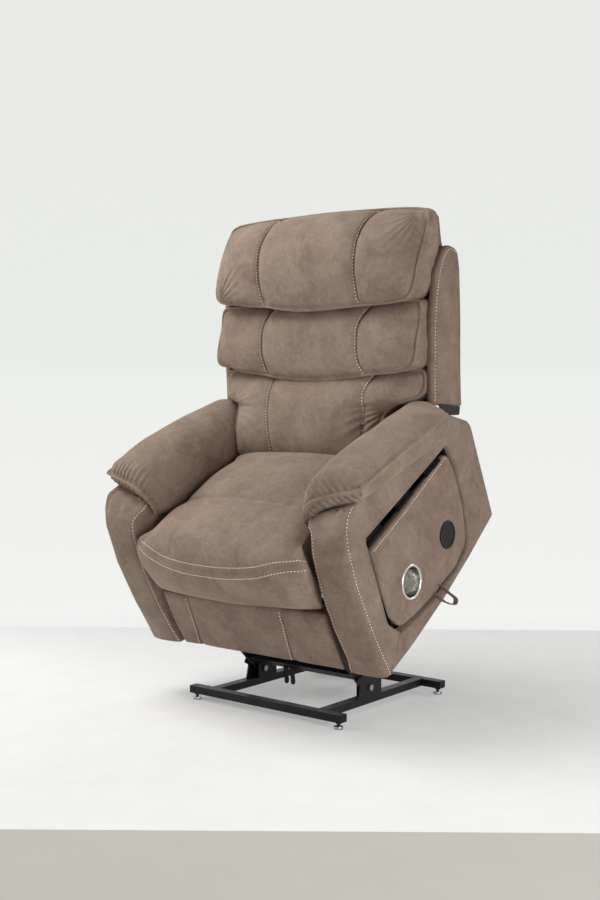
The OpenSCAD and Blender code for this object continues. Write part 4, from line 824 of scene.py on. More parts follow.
def seat_piece():
    """The seat's cover, held at its stitches, its crease and its edges."""
    xs = np.concatenate([np.linspace(0, 252, 34), [258, 263, 267, 270, 276, 281, 285, 290, 295, 298.5, 300]])
    xs = np.concatenate([-xs[:0:-1], xs])
    piece = stack("seat_cushion_cover", from_chair(np.array([seat_ring(x, 190) for x in xs])), taupe_suede)
    local = chair_local(places(piece.data))
    rows = [smooth(row, 200) for row in SEAT_STITCHES]
    held = np.maximum.reduce([
        np.where((local[:, 2] < 262) | (np.abs(local[:, 0]) > 276), 1.0, 0.0),
        0.9 * step(local[:, 1], 395, SEAT_REAR),
        0.6 * bump(local[:, 1], SEAT_CREASE, 14) * step(local[:, 2], 330, 360),
        *[0.8 * bump(distance_to(local, row), 0, 9) for row in rows]])

    def relief(at, facing):
        x, y, z = at.T
        side = step(290 - np.abs(x), 0, 60)
        top = step(facing[:, 2], 0.3, 0.8) * step(z, 300, 340)
        front = step(-facing[:, 1], 0.1, 0.6) * step(y, 80, 40)
        line_y = SEAT_CREASE + 5 * waves(x / 90, 0 * x, 3) - 10 * (x / SEAT_HALF) ** 2
        depth = 6.0 + 3.0 * step(-x, 40, 200) + 1.5 * step(x, 120, 240)
        push = -top * depth * (0.62 * bump(y, line_y, 7) + 0.38 * bump(y, line_y, 26))
        push += top * 1.0 * np.sin(x / 9 + 2.4 * waves(x / 70, y / 70, 8)) * bump(y, line_y, 22) * side
        push += 1.5 * waves(x / 75, y / 60, 5) * top * side + 1.2 * waves(x / 45, z / 60, 6) * front * side
        gaps = [distance_to(at, row) for row in rows]
        nearest = np.minimum(*gaps)
        between = np.clip(1 - np.abs(gaps[0] - gaps[1]) / 30, 0, 1) * (nearest < 26)
        push -= (front + top * step(y, 60, 20)).clip(0, 1) * (
            1.6 * bump(gaps[0], 0, 4.5) + 1.6 * bump(gaps[1], 0, 4.5) + 4.2 * between ** 3)
        gathers = bump(nearest, 0, 16) * front * side
        return push + 0.7 * np.sin(x / 6.0 + 2 * waves(x / 50, z / 50, 7)) * gathers

    soften(piece, held, chair_local, relief, cap=8.0)
    tree = surface_of(piece)
    for row in rows:
        sew("chair", laid(from_chair(row), tree, 0.4))
    return piece


seat = seat_piece()

# ---- arm pads -----------------------------------------------------------------------------------


def box_top(y):
    """Height of the arm box's top along its outer edge, down its rear slope."""
    return 480 - 0.133 * (y - 120) - 0.92 * np.maximum(y - 622, 0)


def pad_front(x):
    """How far back a pad starts at x."""
    return 112 + 42 * (x - INNER_X) / BOX_W


def pad_rear(x):
    """How far back a pad ends at x."""
    return np.interp(x, [INNER_X - 20, 340, 375, 405, 438, 460], [700, 700, 690, 655, 612, 596])


# Heights over the box's top, from front to rear: crest, outer piping, lower edge of the band, inner edge.
PAD_CREST = [(112, 40), (128, 60), (150, 71), (190, 77), (236, 80), (323, 77), (410, 69), (500, 58), (585, 42),
             (640, 34), (680, 24), (705, 8)]
PAD_PIPING = [(112, 44), (152, 42), (184, 38), (236, 34), (327, 29), (401, 23), (457, 17), (518, 14), (585, 16),
              (612, 12)]
PAD_SKIRT = [(112, 4), (147, 3), (183, -2), (224, -10), (311, -22), (404, -33), (497, -46), (549, -48),
             (600, -34), (620, -24)]
PAD_LIP = [(112, -70), (140, -82), (205, -108), (324, -118), (432, -122), (536, -120), (610, -96), (700, -60)]


def along(line, y):
    """Heights at y on a line of (y, height) points."""
    return np.interp(y, *np.array(line, float).T)


def pad_grids():
    """Top and underside of an arm pad, across from its outer piping to the seat, along from front to rear."""
    across, rows = 64, 84
    front_top = smooth([(458, 37), (440, 32), (415, 29), (385, 26), (350, 21), (325, 14), (305, 4), (290, -10),
                        (279, -30), (275, -50), (277, -68)], across)
    front_low = smooth([(449, 6), (441, -2), (402, -9), (367, -11), (334, -19), (310, -35), (293, -54),
                        (281, -72)], across)
    top_rows, low_rows = [], []
    for s in np.linspace(0, 1, rows) ** 1.1:
        y_mid = pad_front(360) + s * (pad_rear(360) - pad_front(360))
        y_out = min(pad_front(458) + s * (pad_rear(458) - pad_front(458)), 612)
        crest, pipe, lip = along(PAD_CREST, y_mid), along(PAD_PIPING, y_out), along(PAD_LIP, y_mid)
        shape = smooth([
            (HALF_W + 20, pipe), (HALF_W + 17, pipe + 8), (HALF_W + 4, pipe + 0.55 * (crest - pipe)),
            (HALF_W - 20, crest - 6), (HALF_W - 52, crest), (HALF_W - 88, crest), (HALF_W - 118, crest - 10),
            (INNER_X + 12, crest - 30), (INNER_X - 8, crest - 60), (INNER_X - 20, 0.5 * (crest + lip) - 15),
            (INNER_X - 22, lip + 28), (INNER_X - 16, lip + 10), (INNER_X - 8, lip)], across)
        skirt = along(PAD_SKIRT, y_out)
        under = spaced(np.array([
            (HALF_W + 13, skirt), (HALF_W + 3, skirt + 1), (HALF_W + 1, -3), (HALF_W - 8, -3),
            (HALF_W - 80, -24), (INNER_X + 6, -43), (INNER_X + 1, -50), (INNER_X + 0.5, lip + 6),
            (INNER_X - 3, lip + 1)], float), across)
        roll = (1 - np.clip(s / 0.085, 0, 1)) ** 2.2
        end = step(s, 0.9, 1.0)
        for shape_now, front_now, kept, lift in (
                (shape, front_top, top_rows, 0), (under, front_low, low_rows, 4)):
            section = shape_now * (1 - roll) + front_now * roll
            y = pad_front(section[:, 0]) + s * (pad_rear(section[:, 0]) - pad_front(section[:, 0]))
            y = y + lift * (1 - s) - lift * s
            z = section[:, 1] * (1 - 0.35 * end * (section[:, 1] > 0))
            kept.append(np.stack([section[:, 0], y, box_top(y) + z], -1))
    return np.array(top_rows), np.array(low_rows)


def arm_pad(label, side):
    """One arm pad's cover, and the path of its piping in metres."""
    top, under = pad_grids()
    piece = cushion(label, from_chair(sided(top, side)), from_chair(sided(under, side)), taupe_suede,
                    swell=0.003)
    local = sided(chair_local(places(piece.data)), side)
    piping = np.vstack([top[0, ::-1], top[1:, 0]])
    beneath = distance_to(local, under[::3, ::3].reshape(-1, 3))
    held = np.where((distance_to(local, piping) < 6) | (beneath < 12), 1.0, 0.0)

    def relief(at, facing):
        x, y, z = at[:, 0] * side, at[:, 1], at[:, 2] - box_top(at[:, 1])
        rim = distance_to(sided(at, side), piping)
        ahead, run = y - pad_front(x), x + 0.8 * z
        crown = step(z, -75, -50) * step(facing[:, 2] - 0.6 * facing[:, 1], 0.0, 0.4)
        rolled = bump(ahead, 0, 46) * crown * step(rim, 2, 12)
        gathered = bump(rim, 0, 20) * step(rim, 2, 9) * bump(y, 170, 80) * step(x, 430, 445)
        push = 2.0 * np.sin(run / 3.4 + 2.0 * waves(run / 30, y / 60, 40 + side)) * rolled
        push += 1.2 * np.sin(y / 5.0 + 2 * waves(y / 40, x / 40, 50 + side)) * gathered
        push += 1.6 * waves(y / 75, x / 50, 60 + side) * step(ahead, 10, 80)
        push += 0.8 * waves(y / 22, x / 26, 65 + side) * step(ahead, 10, 80) * step(z, 10, 40)
        return push - 3.6 * bump(rim, 10, 4.5)

    soften(piece, held, chair_local, relief, cap=7.0)
    return piece, from_chair(spaced(sided(piping, side), 300))


left_pad, left_pad_piping = arm_pad("left_arm_pad_cover", 1)
right_pad, right_pad_piping = arm_pad("right_arm_pad_cover", -1)
# ---- arm boxes ----------------------------------------------------------------------------------

# Against the height: how far back the front's outer seam lies, and how much further back its inner edge.
FRONT_TOP = 486.0
FRONT_SEAM = [(0, 0), (148, 4), (295, 18), (408, 45), (448, 66), (471, 90), (483, 116), (FRONT_TOP, 140)]
INNER_SETBACK = [(0, 30), (137, 38), (261, 42), (380, 46), (448, 46), (471, 36), (FRONT_TOP, 18)]
BOX_SIDE = [(3, 0, 2), (7, 148, 300), (21, 295, 220), (48, 408, 90), (70, 450, 60),
            (104, box_top(104) - 1, 34), (618, box_top(618), 58), (709, 322, 30), (716, 300, 6), (715, 282, 6),
            (673, 11, 6), (667, 0, 8), (500, -13, 300), (330, -19, 300), (140, -13, 300)]


def box_ring(outline, normal, x, inset):
    """The outline at x, inset by so many millimetres, kept under the box's top and behind its front seam."""
    line = outline + normal * inset
    drop = TOP_DROP * (HALF_W - x) / BOX_W
    z = np.minimum(line[:, 1], box_top(line[:, 0]) - drop - inset)
    share = np.clip((SEAM_X - x) / (SEAM_X - INNER_X), 0, 1)
    undropped = np.minimum(z + drop * (z / 465) ** 3, FRONT_TOP)
    front = along(FRONT_SEAM, undropped) + 5 + share * (along(INNER_SETBACK, undropped) + 5)
    return at_x(x, np.column_stack([np.maximum(line[:, 0], front), z]))


RECESS = [(126, 373, 8), (330, 354, 300), (577, 333, 14), (579, 258, 50), (561, 146, 60), (513, 26, 60),
          (430, 6, 60), (300, 15, 80), (180, 39, 60), (108, 60, 52), (77, 122, 40)]


def matched(hole, outline):
    """Samples of the hole that face the outline's samples, found by angle round the hole's middle.

    Both run the same way round."""
    hole_angle, out_angle = (np.unwrap(np.arctan2(line[:, 1] - 200, line[:, 0] - 340))
                             for line in (hole, outline))
    period = 2 * math.pi * np.sign(hole_angle[-1] - hole_angle[0])
    tripled = np.concatenate([hole_angle - period, hole_angle, hole_angle + period])
    points = np.vstack([hole, hole, hole])
    order = np.argsort(tripled)
    return np.stack([np.interp(out_angle, tripled[order], points[order, k]) for k in (0, 1)], -1)


def arm_cover(label, side, hole):
    """One arm box's cover: outer face, rounded edges, top and inner face, with the tray's recess or without."""
    outline = rounded(BOX_SIDE, 420)
    normal = inward(outline)
    edge, inner_edge, sunk_in = 11.0, 7.0, 2.5
    outer = outline + normal * edge
    rings = []
    if hole:
        lip = matched(rounded(RECESS, 900), outer)
        lip_normal = inward(lip)
        for depth, back_off in ((26, -3), (15, -1), (9, 0), (5.4, 0.8), (3.0, 2.4), (1.2, 4.8), (0.2, 8)):
            rings.append(at_x(HALF_W - depth, lip - lip_normal * back_off))
        start = lip - lip_normal * 8
    else:
        middle_point = np.array([350.0, 215.0])
        start = middle_point + (outer - middle_point) * 0.02
    wide = np.linalg.norm(outer - start, axis=1)
    for f in np.linspace(0, 1, 26)[(1 if hole else 0):]:
        flat = start + (outer - start) * f
        swell = 1.3 * waves(flat[:, 0] / 80, flat[:, 1] / 60, 70 + side) * math.sin(math.pi * f)
        if hole:
            swell += 2.6 * math.sin(math.pi * f) * np.clip(wide / 90, 0.2, 1)
            swell -= 1.8 * bump(flat[:, 0], 118, 5) * step(60 - flat[:, 1], 0, 30) * math.sin(math.pi * f)
        else:
            swell += 4.0 * (1 - f * f)
        rings.append(at_x(HALF_W - sunk_in + swell, flat))
    for a in np.linspace(0, math.pi / 2, 8)[1:]:
        x = HALF_W - sunk_in - edge * (1 - math.cos(a))
        rings.append(box_ring(outline, normal, x, edge * (1 - math.sin(a))))
    for x in (HALF_W - 60, INNER_X + 60, SEAM_X, INNER_X + 20, INNER_X + inner_edge):
        rings.append(box_ring(outline, normal, x, 0))
    for a in np.linspace(0, math.pi / 2, 5)[1:]:
        x = INNER_X + inner_edge * (1 - math.sin(a))
        rings.append(box_ring(outline, normal, x, inner_edge * (1 - math.cos(a))))
    return stack(label, from_chair(sided(np.array(rings), side)), side_suede_painted_shade, ends=(not hole, True))


left_cover = arm_cover("left_arm_box_cover", 1, True)
right_cover = arm_cover("right_arm_box_cover", -1, False)


def front_section(z, count):
    """One arm front's plan at height z, from the outer seam round to the inner side."""
    y = along(FRONT_SEAM, z)
    back = y + 30
    inset = along(INNER_SETBACK, z)
    corner = SEAM_X - 8 * step(60 - z, 0, 60) - 30 * step(z, 452, FRONT_TOP)
    return smooth([
        (HALF_W - 6, back), (HALF_W - 5, y + 10), (HALF_W - 5.5, y + 2), (HALF_W - 11, y - 3),
        (HALF_W - 32, y - 8), (HALF_W - 72, y - 9), (HALF_W - 98, y - 8), (corner + 9, y - 6),
        (corner + 3, y - 4), (corner, y - 0.5), (corner - 2, y + 4),
        ((INNER_X + corner) * 0.5, y + inset * 0.58), (INNER_X + 3, y + inset * 0.92), (INNER_X, y + inset + 6),
        (INNER_X, max(back, y + inset + 14))], count)


def arm_front(label, side):
    """One arm box's curved front panel, lowered towards the seat as the box's top is."""
    levels = np.concatenate([[0, 1.5, 5], np.linspace(12, 430, 56), np.linspace(436, FRONT_TOP, 18)])
    rings = []
    for z in levels:
        line = front_section(z, 100)
        squeeze = 5 * (1 - math.sqrt(max(0, 1 - (1 - min(z / 5, 1)) ** 2)))
        centre = np.array([HALF_W - BOX_W / 2, along(FRONT_SEAM, z) + 24])
        line = line + (centre - line) * squeeze / 60
        drop = (HALF_W - line[:, 0]) / BOX_W * TOP_DROP * (z / FRONT_TOP) ** 3 + 2
        drop = drop + 9 * step(line[:, 0], HALF_W - 34, HALF_W - 4) * step(z, 430, FRONT_TOP)
        rings.append(np.column_stack([line, z - drop * step(z, 20, 200)]))
    piece = stack(label, from_chair(sided(np.array(rings), side)), side_suede_painted_shade)
    local = sided(chair_local(places(piece.data)), side)
    held = np.where((local[:, 1] > along(FRONT_SEAM, local[:, 2]) + 2) | (local[:, 2] < 8), 1.0, 0.0)

    def relief(at, facing):
        x, y, z = sided(at, side).T
        front = step(-facing[:, 1] + 0.7 * facing[:, 2], 0.1, 0.6)
        creases = bump(x, INNER_X + 14, 22) * step(z, 30, 120)
        push = 1.2 * waves(x / 55, z / 70, 80 + side) * step(z, 4, 50)
        push += 1.0 * np.sin(z / 11 + 2.5 * waves(x / 40, z / 60, 85 + side)) * creases
        push += 1.4 * np.sin(x / 9 + 2.0 * waves(x / 40, z / 40, 88 + side)) * bump(z, 452, 26)
        push -= 1.4 * bump(x, SEAM_X + 8, 3.5) * step(z, 4, 30) * step(470 - z, 0, 20)
        return push * front

    soften(piece, held, chair_local, relief, cap=6.0)
    return piece


left_front = arm_front("left_arm_front_cover", 1)
right_front = arm_front("right_arm_front_cover", -1)

# ---- wings and rear cover -----------------------------------------------------------------------

WING_T = 22.0
WING = [(-14, -1, 6), (-14, 396, 40), (-4, 452, 30), (56, 466, 36), (112, 392, 60), (144, 262, 90), (146, 14, 7)]
SHELL_HALF = 362.0
SHELL = [(-8, 12, 5), (-8, 405, 60), (34, 470, 60), (44, 545, 8), (61, 556, 5), (61, 470, 20), (50, 12, 5)]


def slab_rings(outline, x0, x1, edge, puff=0.0, seed=0):
    """Rings of a padded slab between x0 and x1 with rounded edges; puff swells the face at x1."""
    normal = inward(outline)
    middle_point = outline.mean(0)
    spokes = outline + normal * edge - middle_point
    quarter = np.linspace(0, math.pi / 2, 7)
    rings = []
    for f in np.linspace(0.03, 1, 12, endpoint=False):
        flat = middle_point + spokes * f
        uneven = 0.8 * waves(flat[:, 0] / 50, flat[:, 1] / 60, seed) * math.sin(math.pi * f)
        rings.append(at_x(x1 + puff * (1 - f * f) + uneven, flat))
    corners = [(x1 - edge * (1 - math.cos(a)), 1 - math.sin(a)) for a in quarter]
    corners += [(x0 + edge * (1 - math.sin(a)), 1 - math.cos(a)) for a in quarter]
    rings += [at_x(x, outline + normal * edge * share) for x, share in corners]
    rings += [at_x(x0, middle_point + spokes * f) for f in np.linspace(1, 0.03, 8)[1:]]
    return np.array(rings)


def wing_x(height):
    """Outer face of a wing: it leans in towards the chair's arms."""
    return 386 + 5 * step(height, 60, 300)


def wing(label, side):
    """A side wing: a slab in its outline, puffed a little, that follows the leaning outer face."""
    rings = slab_rings(rounded(WING, 300), -WING_T, 0, 8, puff=2.0, seed=90)
    rings[..., 0] += wing_x(rings[..., 2])
    return stack(label, from_back(sided(rings, side)), side_suede_painted_shade)


left_wing = wing("left_wing_cover", 1)
right_wing = wing("right_wing_cover", -1)
shell = stack("rear_cover_skin", from_back(
    slab_rings(rounded(SHELL, 260), -SHELL_HALF, SHELL_HALF, 6)), side_suede_painted_shade)

# ---- footrest and rear panel --------------------------------------------------------------------

PANEL_FOOT = np.array([-9.0, 5.0])
PANEL_TOP = np.array([36.0, 187.0])
PANEL_LEAN = 26.0               # how much further forward the face lies at its top
PANEL_HALF = 291.0
PANEL_FLARE = 6.0               # extra half width at the top
PANEL_BACK_HALF = 275.0
PANEL_T = 25.5
PANEL_SEAMS = (-212, 133)
REAR_PANEL = [(637, 12, 4), (637, 140, 4), (651, 140, 4), (651, 12, 4)]


def panel_seam(at, s):
    """Where one of the footrest panel's two seams lies across, at a share s of its height."""
    return at - (22 if at < 0 else 18) * (s - 0.75) ** 2 + 12 * s


def footrest_panel():
    """The footrest's padded panel, with two seams down its face."""
    across, up = 150, 60
    length = np.linalg.norm(PANEL_TOP - PANEL_FOOT)
    direction = (PANEL_TOP - PANEL_FOOT) / length
    outward = np.array([-direction[1], direction[0]])
    s = np.linspace(0, 1, up)[:, None]
    u = np.linspace(-1, 1, across)[None, :]
    half = PANEL_HALF + PANEL_FLARE * s
    x = half * (0.25 * np.sin(np.pi / 2 * u) + 0.75 * u)
    rim = np.minimum(np.minimum(s, 1 - s) * length, (1 - np.abs(u)) * 280)
    crown = 9 * (1 - np.exp(-rim / 7))
    for at in PANEL_SEAMS:
        away = x - panel_seam(at, s)
        crown = crown - 5.0 * bump(away, 0, 6) - 2.2 * bump(away, 0, 26)
    crown = crown + 0.8 * waves(x / 55, s * 3, 95) * (1 - np.exp(-rim / 14))
    depth = crown - 8 + PANEL_LEAN * s + 5 * np.sin(np.pi * s)
    y, z = (PANEL_FOOT[k] + direction[k] * s * length for k in (0, 1))
    face, back = (np.stack(np.broadcast_arrays(wide, y + outward[0] * off, z + outward[1] * off), -1)
                  for wide, off in ((x, depth), (x * PANEL_BACK_HALF / half, -PANEL_T)))
    return cushion("footrest_panel_cover", from_chair(face), from_chair(back), side_suede_painted_shade, swell=0.002)


footrest = footrest_panel()
rear_skirt = stack("rear_panel_skin", from_chair(
    slab_rings(rounded(REAR_PANEL, 120), -INNER_X + 0.5, INNER_X - 0.5, 3.6)), side_suede_painted_shade)

# ---- side tray ----------------------------------------------------------------------------------

TRAY_FACE = HALF_W - 5
TRAY_T = 22.0
CUP = (227.0, 134.0)
CUP_HOLE = 41.6                 # radius
DISC = (440.0, 120.0)
DISC_HOLE = 40.0
TRAY = [(130, 332, 10), (300, 320, 300), (569, 313, 26), (573, 245, 60), (554, 130, 60), (513, 32, 54),
        (430, 13, 60), (310, 22, 80), (190, 46, 60), (120, 68, 40), (95, 128, 40)]


def circle(centre, radius, count=96):
    """Points (y, z) round a circle."""
    a = 2 * np.pi * np.arange(count) / count
    return np.column_stack([centre[0] + radius * np.cos(a), centre[1] + radius * np.sin(a)])


def turned(label, profile, centre, finish):
    """A turned fitting of the tray; profile is (radius, x) from its middle outwards."""
    rings = [at_x(TRAY_FACE + x, circle(centre, radius)) for radius, x in profile]
    return stack(label, from_chair(rings), finish, ends=(True, False))


def bored(piece, centre, radius, depth):
    """Cuts a round hole for one of the tray's fittings."""
    rings = [at_x(TRAY_FACE + x, circle(centre, radius)) for x in (-depth, 20)]
    cutter = stack("hole_cutter", from_chair(rings), piece.data.materials[0], flat=True)
    cut = piece.modifiers.new("hole", "BOOLEAN")
    cut.operation = "DIFFERENCE"
    cut.object = cutter
    made = modified(piece)
    piece.modifiers.clear()
    piece.data = made
    bpy.data.objects.remove(cutter)


tray = stack("tray_panel_cover", from_chair(
    slab_rings(rounded(TRAY, 420), TRAY_FACE - TRAY_T, TRAY_FACE - 1.5, 7, puff=1.5, seed=97)), side_suede_painted_shade)
bored(tray, CUP, CUP_HOLE, 40)
bored(tray, DISC, DISC_HOLE, 4)
cup = turned("cup_holder_liner", smooth([
    (2, -60.5), (20, -60.6), (32, -60), (38, -56), (40.6, -50), (40.8, -30), (40.8, -6), (41.2, -1), (42.6, 1.4),
    (45, 2.0), (47.4, 1.6), (48.8, 0.6), (48.9, -1.2)], 60), CUP, cup_steel)
disc = turned("charging_disc_face", [
    (2, 1.0), (30, 1.0), (33.0, 1.0), (33.6, 1.6), (34.4, 2.0), (38.4, 2.0), (39.4, 1.6), (39.9, 0.6),
    (39.9, -3)], DISC, black_plastic)

# ---- fittings of the upholstery: piping and stitches --------------------------------------------

pillow_piping = tube("pillow_piping", [
    spaced(line, 420) for line in (head_piping, middle_piping, lumbar_piping)], 3.8, taupe_suede)
arm_piping = tube("arm_pad_piping", [left_pad_piping, right_pad_piping], 3.6, taupe_suede)

for side, front_piece, cover in ((1, left_front, left_cover), (-1, right_front, right_cover)):
    levels = np.linspace(4, FRONT_TOP, 34)
    outer = [(HALF_W, 8 + along(FRONT_SEAM, z), z) for z in np.linspace(4, 484, 28)]
    inner = [(SEAM_X + 8 - 8 * step(60 - z, 0, 60) - 34 * step(z, 440, 484), along(FRONT_SEAM, z) - 5,
              z - 34 * (z / FRONT_TOP) ** 3) for z in levels]
    for line, skin in ((outer, cover), (inner, front_piece)):
        sew("chair", laid(from_chair(smooth(sided(line, side), 200)), surface_of(skin), 0.5))

WING_SEAM = np.array([(134, 28), (131, 150), (127, 262), (108, 352), (84, 412), (62, 440), (36, 451), (12, 444)])
for side, piece in ((1, left_wing), (-1, right_wing)):
    line = sided(at_x(wing_x(WING_SEAM[:, 1]), WING_SEAM), side)
    sew("backrest", laid(from_back(smooth(line, 140)), surface_of(piece), 0.4))

reach = np.linspace(142, 552, 60)
tray_path = at_x(TRAY_FACE, np.column_stack([reach, np.interp(reach, (132, 300, 552), (322, 311, 306))]))
sew("tray", laid(from_chair(tray_path), surface_of(tray), 0.5))

footrest_tree = surface_of(footrest)
for at in PANEL_SEAMS:
    line = []
    for s in np.linspace(0.04, 0.96, 24):
        y, z = PANEL_FOOT + (PANEL_TOP - PANEL_FOOT) * s
        line.append((panel_seam(at, s) - STITCH_ASIDE, y - 6 - PANEL_LEAN * s, z))
    sew("footrest", laid(from_chair(smooth(line, 90)), footrest_tree, 0.5))

# ---- pull loop ----------------------------------------------------------------------------------

LOOP_LINE = [(320, 42), (334, 2), (350, -30), (355, -46), (347, -53), (336, -48), (318, -26), (300, 2),
             (287, 42)]
RIBBON_T = 2.2
RIBBON_X = (HALF_W + 0.8, HALF_W + 15)


def pull_loop():
    """A flat ribbon that hangs in a loop from the tray's lower edge."""
    line = smooth(LOOP_LINE, 90)
    tangent = np.gradient(line, axis=0)
    tangent /= np.linalg.norm(tangent, axis=1, keepdims=True)
    across = np.stack([-tangent[:, 1], tangent[:, 0]], -1) * RIBBON_T / 2
    rings = np.stack([at_x(x, line + across * way) for x, way in (
        (RIBBON_X[0], -1), (RIBBON_X[0], 1), (RIBBON_X[1], 1), (RIBBON_X[1], -1))], 1)
    return stack("pull_loop_ribbon", from_chair(rings), side_suede_painted_shade, flat=True)


loop = pull_loop()

# ---- on their bodies ----------------------------------------------------------------------------

dress(head, "backrest", "suede", "head_pillow", fill=0.7)
dress(middle, "backrest", "suede", "middle_pillow", fill=0.7)
dress(lumbar, "backrest", "suede", "lumbar_pillow", fill=0.7)
dress(pillow_piping, "backrest", "suede")
dress(left_wing, "backrest", "suede_side", "left_wing", fill=0.8)
dress(right_wing, "backrest", "suede_side", "right_wing", fill=0.8)
dress(shell, "backrest", "suede_side", "back_shell")
dress(seat, "chair", "suede", "seat_cushion", fill=0.7)
dress(left_pad, "chair", "suede", "left_arm_pad", fill=0.8)
dress(right_pad, "chair", "suede", "right_arm_pad", fill=0.8)
dress(arm_piping, "chair", "suede")
dress(left_cover, "chair", "suede_side", "left_arm_cover")
dress(right_cover, "chair", "suede_side", "right_arm_cover")
dress(left_front, "chair", "suede_side", "left_arm_front", fill=0.8)
dress(right_front, "chair", "suede_side", "right_arm_front", fill=0.8)
dress(rear_skirt, "chair", "suede_side", "rear_panel")
dress(footrest, "footrest", "suede_side", "footrest_pad", fill=0.7)
dress(tray, "tray", "suede_side", "tray_panel")
dress(cup, "tray", "cup_steel", "cup_holder")
dress(disc, "tray", "black_plastic", "charging_disc")
dress(loop, "tray", "suede_side", "pull_loop")
for body, paths in rows_of_stitches.items():
    make_stitches(body, paths)

NODE_FINISH = (
    (black_steel, "front_cross_tube rear_cross_tube side_rails foot_screws pivot_brackets motor_clevis "
                  "left_lift_arm right_lift_arm torque_tube mechanism_plates chassis_cross_tubes "
                  "chair_pivot_brackets seat_springs footrest_channels footrest_bars back_brackets"),
    (zinc_steel, "levelling_feet lift_pivot_bolts lift_rod hinge_bolts back_rod footrest_rod "
                 "footrest_hinge_pins"),
    (black_plastic, "tube_end_caps lift_motor control_box power_inlet back_motor footrest_motor handset "
                    "lift_button lower_button recline_button upright_button"),
    (plywood, "seat_deck arm_frames back_frame"),
    (lining, "tray_well tray_hinge_pin"),
    (side_suede_painted_shade, "side_pocket footrest_board"),
)
EDGE_WIDTH = {"handset": 3.0, "side_pocket": 1.6, "lift_motor": 2.0, "back_motor": 2.0, "footrest_motor": 2.0,
              "control_box": 2.5}
PLAIN_EDGE = 0.9


def soften_edges(piece, width):
    """Rounds a hard piece's sharp edges, so that they catch the light."""
    weld = piece.modifiers.new("weld", "WELD")
    weld.merge_threshold = 0.00001
    bevel = piece.modifiers.new("edges", "BEVEL")
    bevel.width = width * MM
    bevel.segments = 2
    bevel.limit_method = "ANGLE"
    bevel.angle_limit = math.radians(50)


for finish, names in NODE_FINISH:
    for name in names.split():
        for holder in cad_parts[name].material_slots:
            holder.material = finish
        soften_edges(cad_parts[name], EDGE_WIDTH.get(name, PLAIN_EDGE))

# ---- floor, light and camera --------------------------------------------------------------------

# The camera stands over EYE's first two values. The floor's strips lie across its view.
EYE = np.array([2.23203, -2.95513 + BASE_Y * MM, 0.91728])
AHEAD = np.array([-0.61530501, 0.78693654, -0.04615869])
UP = np.array([-0.03365833, 0.03227494, 0.99891213])
PAPER_NEAR, PAPER_FAR = 2.55, 4.78


def combined(tree, operation, a, b):
    """Two values made one, by a mathematical operation."""
    return node(tree, "ShaderNodeMath", [(0, a), (1, b)], operation=operation).outputs[0]


def seen_directly(tree):
    """1 for rays from the camera, and from mirrors and glass."""
    rays = tree.nodes.new("ShaderNodeLightPath").outputs
    mirrored = combined(tree, "MAXIMUM", rays["Is Glossy Ray"], rays["Is Transmission Ray"])
    return combined(tree, "MAXIMUM", rays["Is Camera Ray"], mirrored)


def blended(tree, kind, share, first, second):
    """Ends a tree in a mix of two shaders; kind is its output, share the second one's part."""
    mix = node(tree, "ShaderNodeMixShader", [(0, share), (1, first.outputs[0]), (2, second.outputs[0])])
    node(tree, kind, [("Surface", mix.outputs[0])])


def studio_floor(label, near, far, code):
    """A strip of floor across the view, between two distances from the camera.

    Camera and mirror rays see part of its own pale colour, more so away from the lamps, under the shadow.
    """
    heading = AHEAD[:2] / np.linalg.norm(AHEAD[:2])
    aside = np.array([heading[1], -heading[0]])
    corners = [(*(EYE[:2] + heading * away + aside * across), -0.0005)
               for away, across in ((near, -5), (near, 5), (far, 5), (far, -5))]
    finish = bpy.data.materials.new(label)
    piece = mesh_piece(label, corners, [(0, 1, 2, 3)], finish, flat=True)
    tree = cleared(finish)
    place = tree.nodes.new("ShaderNodeTexCoord").outputs["Object"]
    dust = noise(tree, place, Scale=7.0, Detail=6.0, Roughness=0.7)
    shade = node(tree, "ShaderNodeMix", [("Factor", spread(tree, dust, 0.0, 0.07))], data_type="RGBA")
    shade.inputs[6].default_value, shade.inputs[7].default_value = colour(code), colour("#8f8c86")
    matt = node(tree, "ShaderNodeBsdfDiffuse", [("Color", shade.outputs[2])])
    glow = node(tree, "ShaderNodeEmission", [("Color", shade.outputs[2])], Strength=1.0)
    parts = node(tree, "ShaderNodeSeparateXYZ", [("Vector", place)])
    even = node(tree, "ShaderNodeMapRange", [("Value", parts.outputs["X"])],
                From_Min=-1.0, From_Max=1.5, To_Min=0.14, To_Max=0.62)
    share = combined(tree, "MULTIPLY", seen_directly(tree), even.outputs["Result"])
    blended(tree, "ShaderNodeOutputMaterial", share, matt, glow)


studio_floor("studio_floor", PAPER_NEAR, PAPER_FAR, "#f4f4f3")
studio_floor("studio_front_floor", -2.0, PAPER_NEAR, "#c6c3ba")

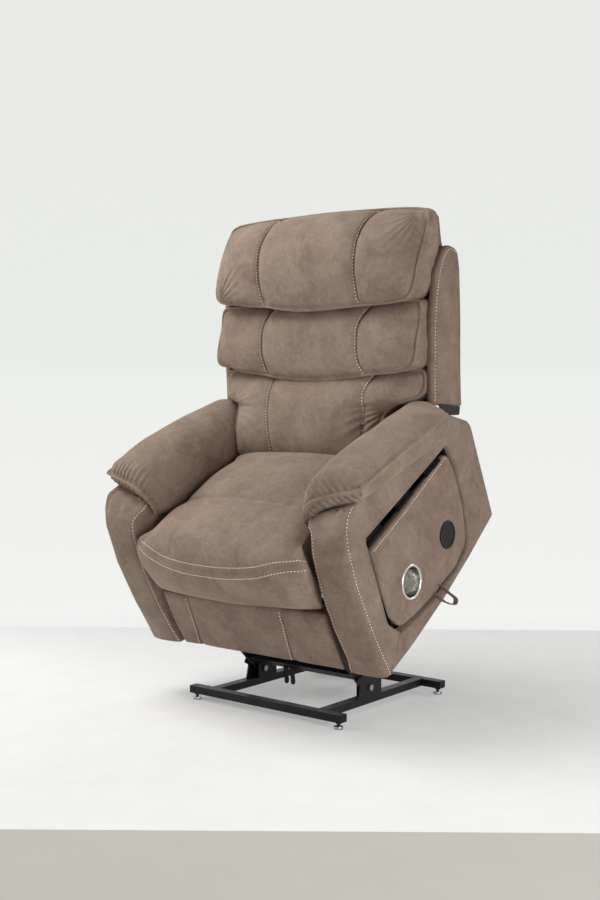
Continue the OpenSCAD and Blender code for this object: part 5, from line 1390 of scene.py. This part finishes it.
world = bpy.data.worlds.new("studio")
bpy.context.scene.world = world
sky = cleared(world)
outward = sky.nodes.new("ShaderNodeTexCoord").outputs["Generated"]
way = node(sky, "ShaderNodeSeparateXYZ", [("Vector", outward)])
rise = node(sky, "ShaderNodeMapRange", [("Value", way.outputs["Z"])], From_Min=-0.2, From_Max=0.3)
# Backdrop colour by height: a faint darker band low down, where wall meets floor, is painted shadow; above it
# the wall is palest and darkens upwards, with a step darker higher up.
wall_with_painted_shadow = ramp(sky, rise.outputs["Result"], [
    (0.0, "#f0f1f0"), (0.03, "#eff0ef"), (0.05, "#f3f3f1"), (0.14, "#f1f1ef"), (0.42, "#edefec"),
    (0.455, "#e9ebe8"), (1.0, "#e9eae8")])
backdrop = node(sky, "ShaderNodeBackground", [("Color", wall_with_painted_shadow)], Strength=1.0)
ambient = node(sky, "ShaderNodeBackground", Color=colour("#eef0f2"), Strength=0.06)
blended(sky, "ShaderNodeOutputWorld", seen_directly(sky), ambient, backdrop)


def soft_light(label, place, target, size, power):
    """A square lamp of so many metres and watts that faces a point."""
    light = bpy.data.lights.new(label, "AREA")
    light.shape = "SQUARE"
    light.size = size
    light.energy = power
    lamp = placed(label, light)
    lamp.location = place
    away = np.array(place, float) - np.array(target, float)
    lamp.rotation_euler = (math.atan2(math.hypot(away[0], away[1]), away[2]), 0,
                           math.atan2(away[1], away[0]) + math.pi / 2)


soft_light("top_softbox", (-1.3, -1.0, 3.4), (0, 0, 0.6), 2.2, 104)
soft_light("left_softbox", (-2.8, -2.3, 1.4), (0, 0, 0.7), 1.8, 54)
soft_light("right_softbox", (2.9, -0.9, 0.8), (0, 0, 0.5), 1.3, 56)
soft_light("back_softbox", (1.4, 2.6, 2.4), (0.8, 0.8, 0), 1.6, 22)

lens = bpy.data.cameras.new("camera")
lens.lens = 49.42
lens.sensor_width = 36.0
lens.clip_end = 100
camera = placed("camera", lens)
turn = np.eye(4)
turn[:3, 0], turn[:3, 1], turn[:3, 2], turn[:3, 3] = np.cross(AHEAD, UP), UP, -AHEAD, EYE
camera.matrix_world = Matrix(turn.tolist())
bpy.context.scene.camera = camera
bpy.context.scene.view_settings.view_transform = "Standard"
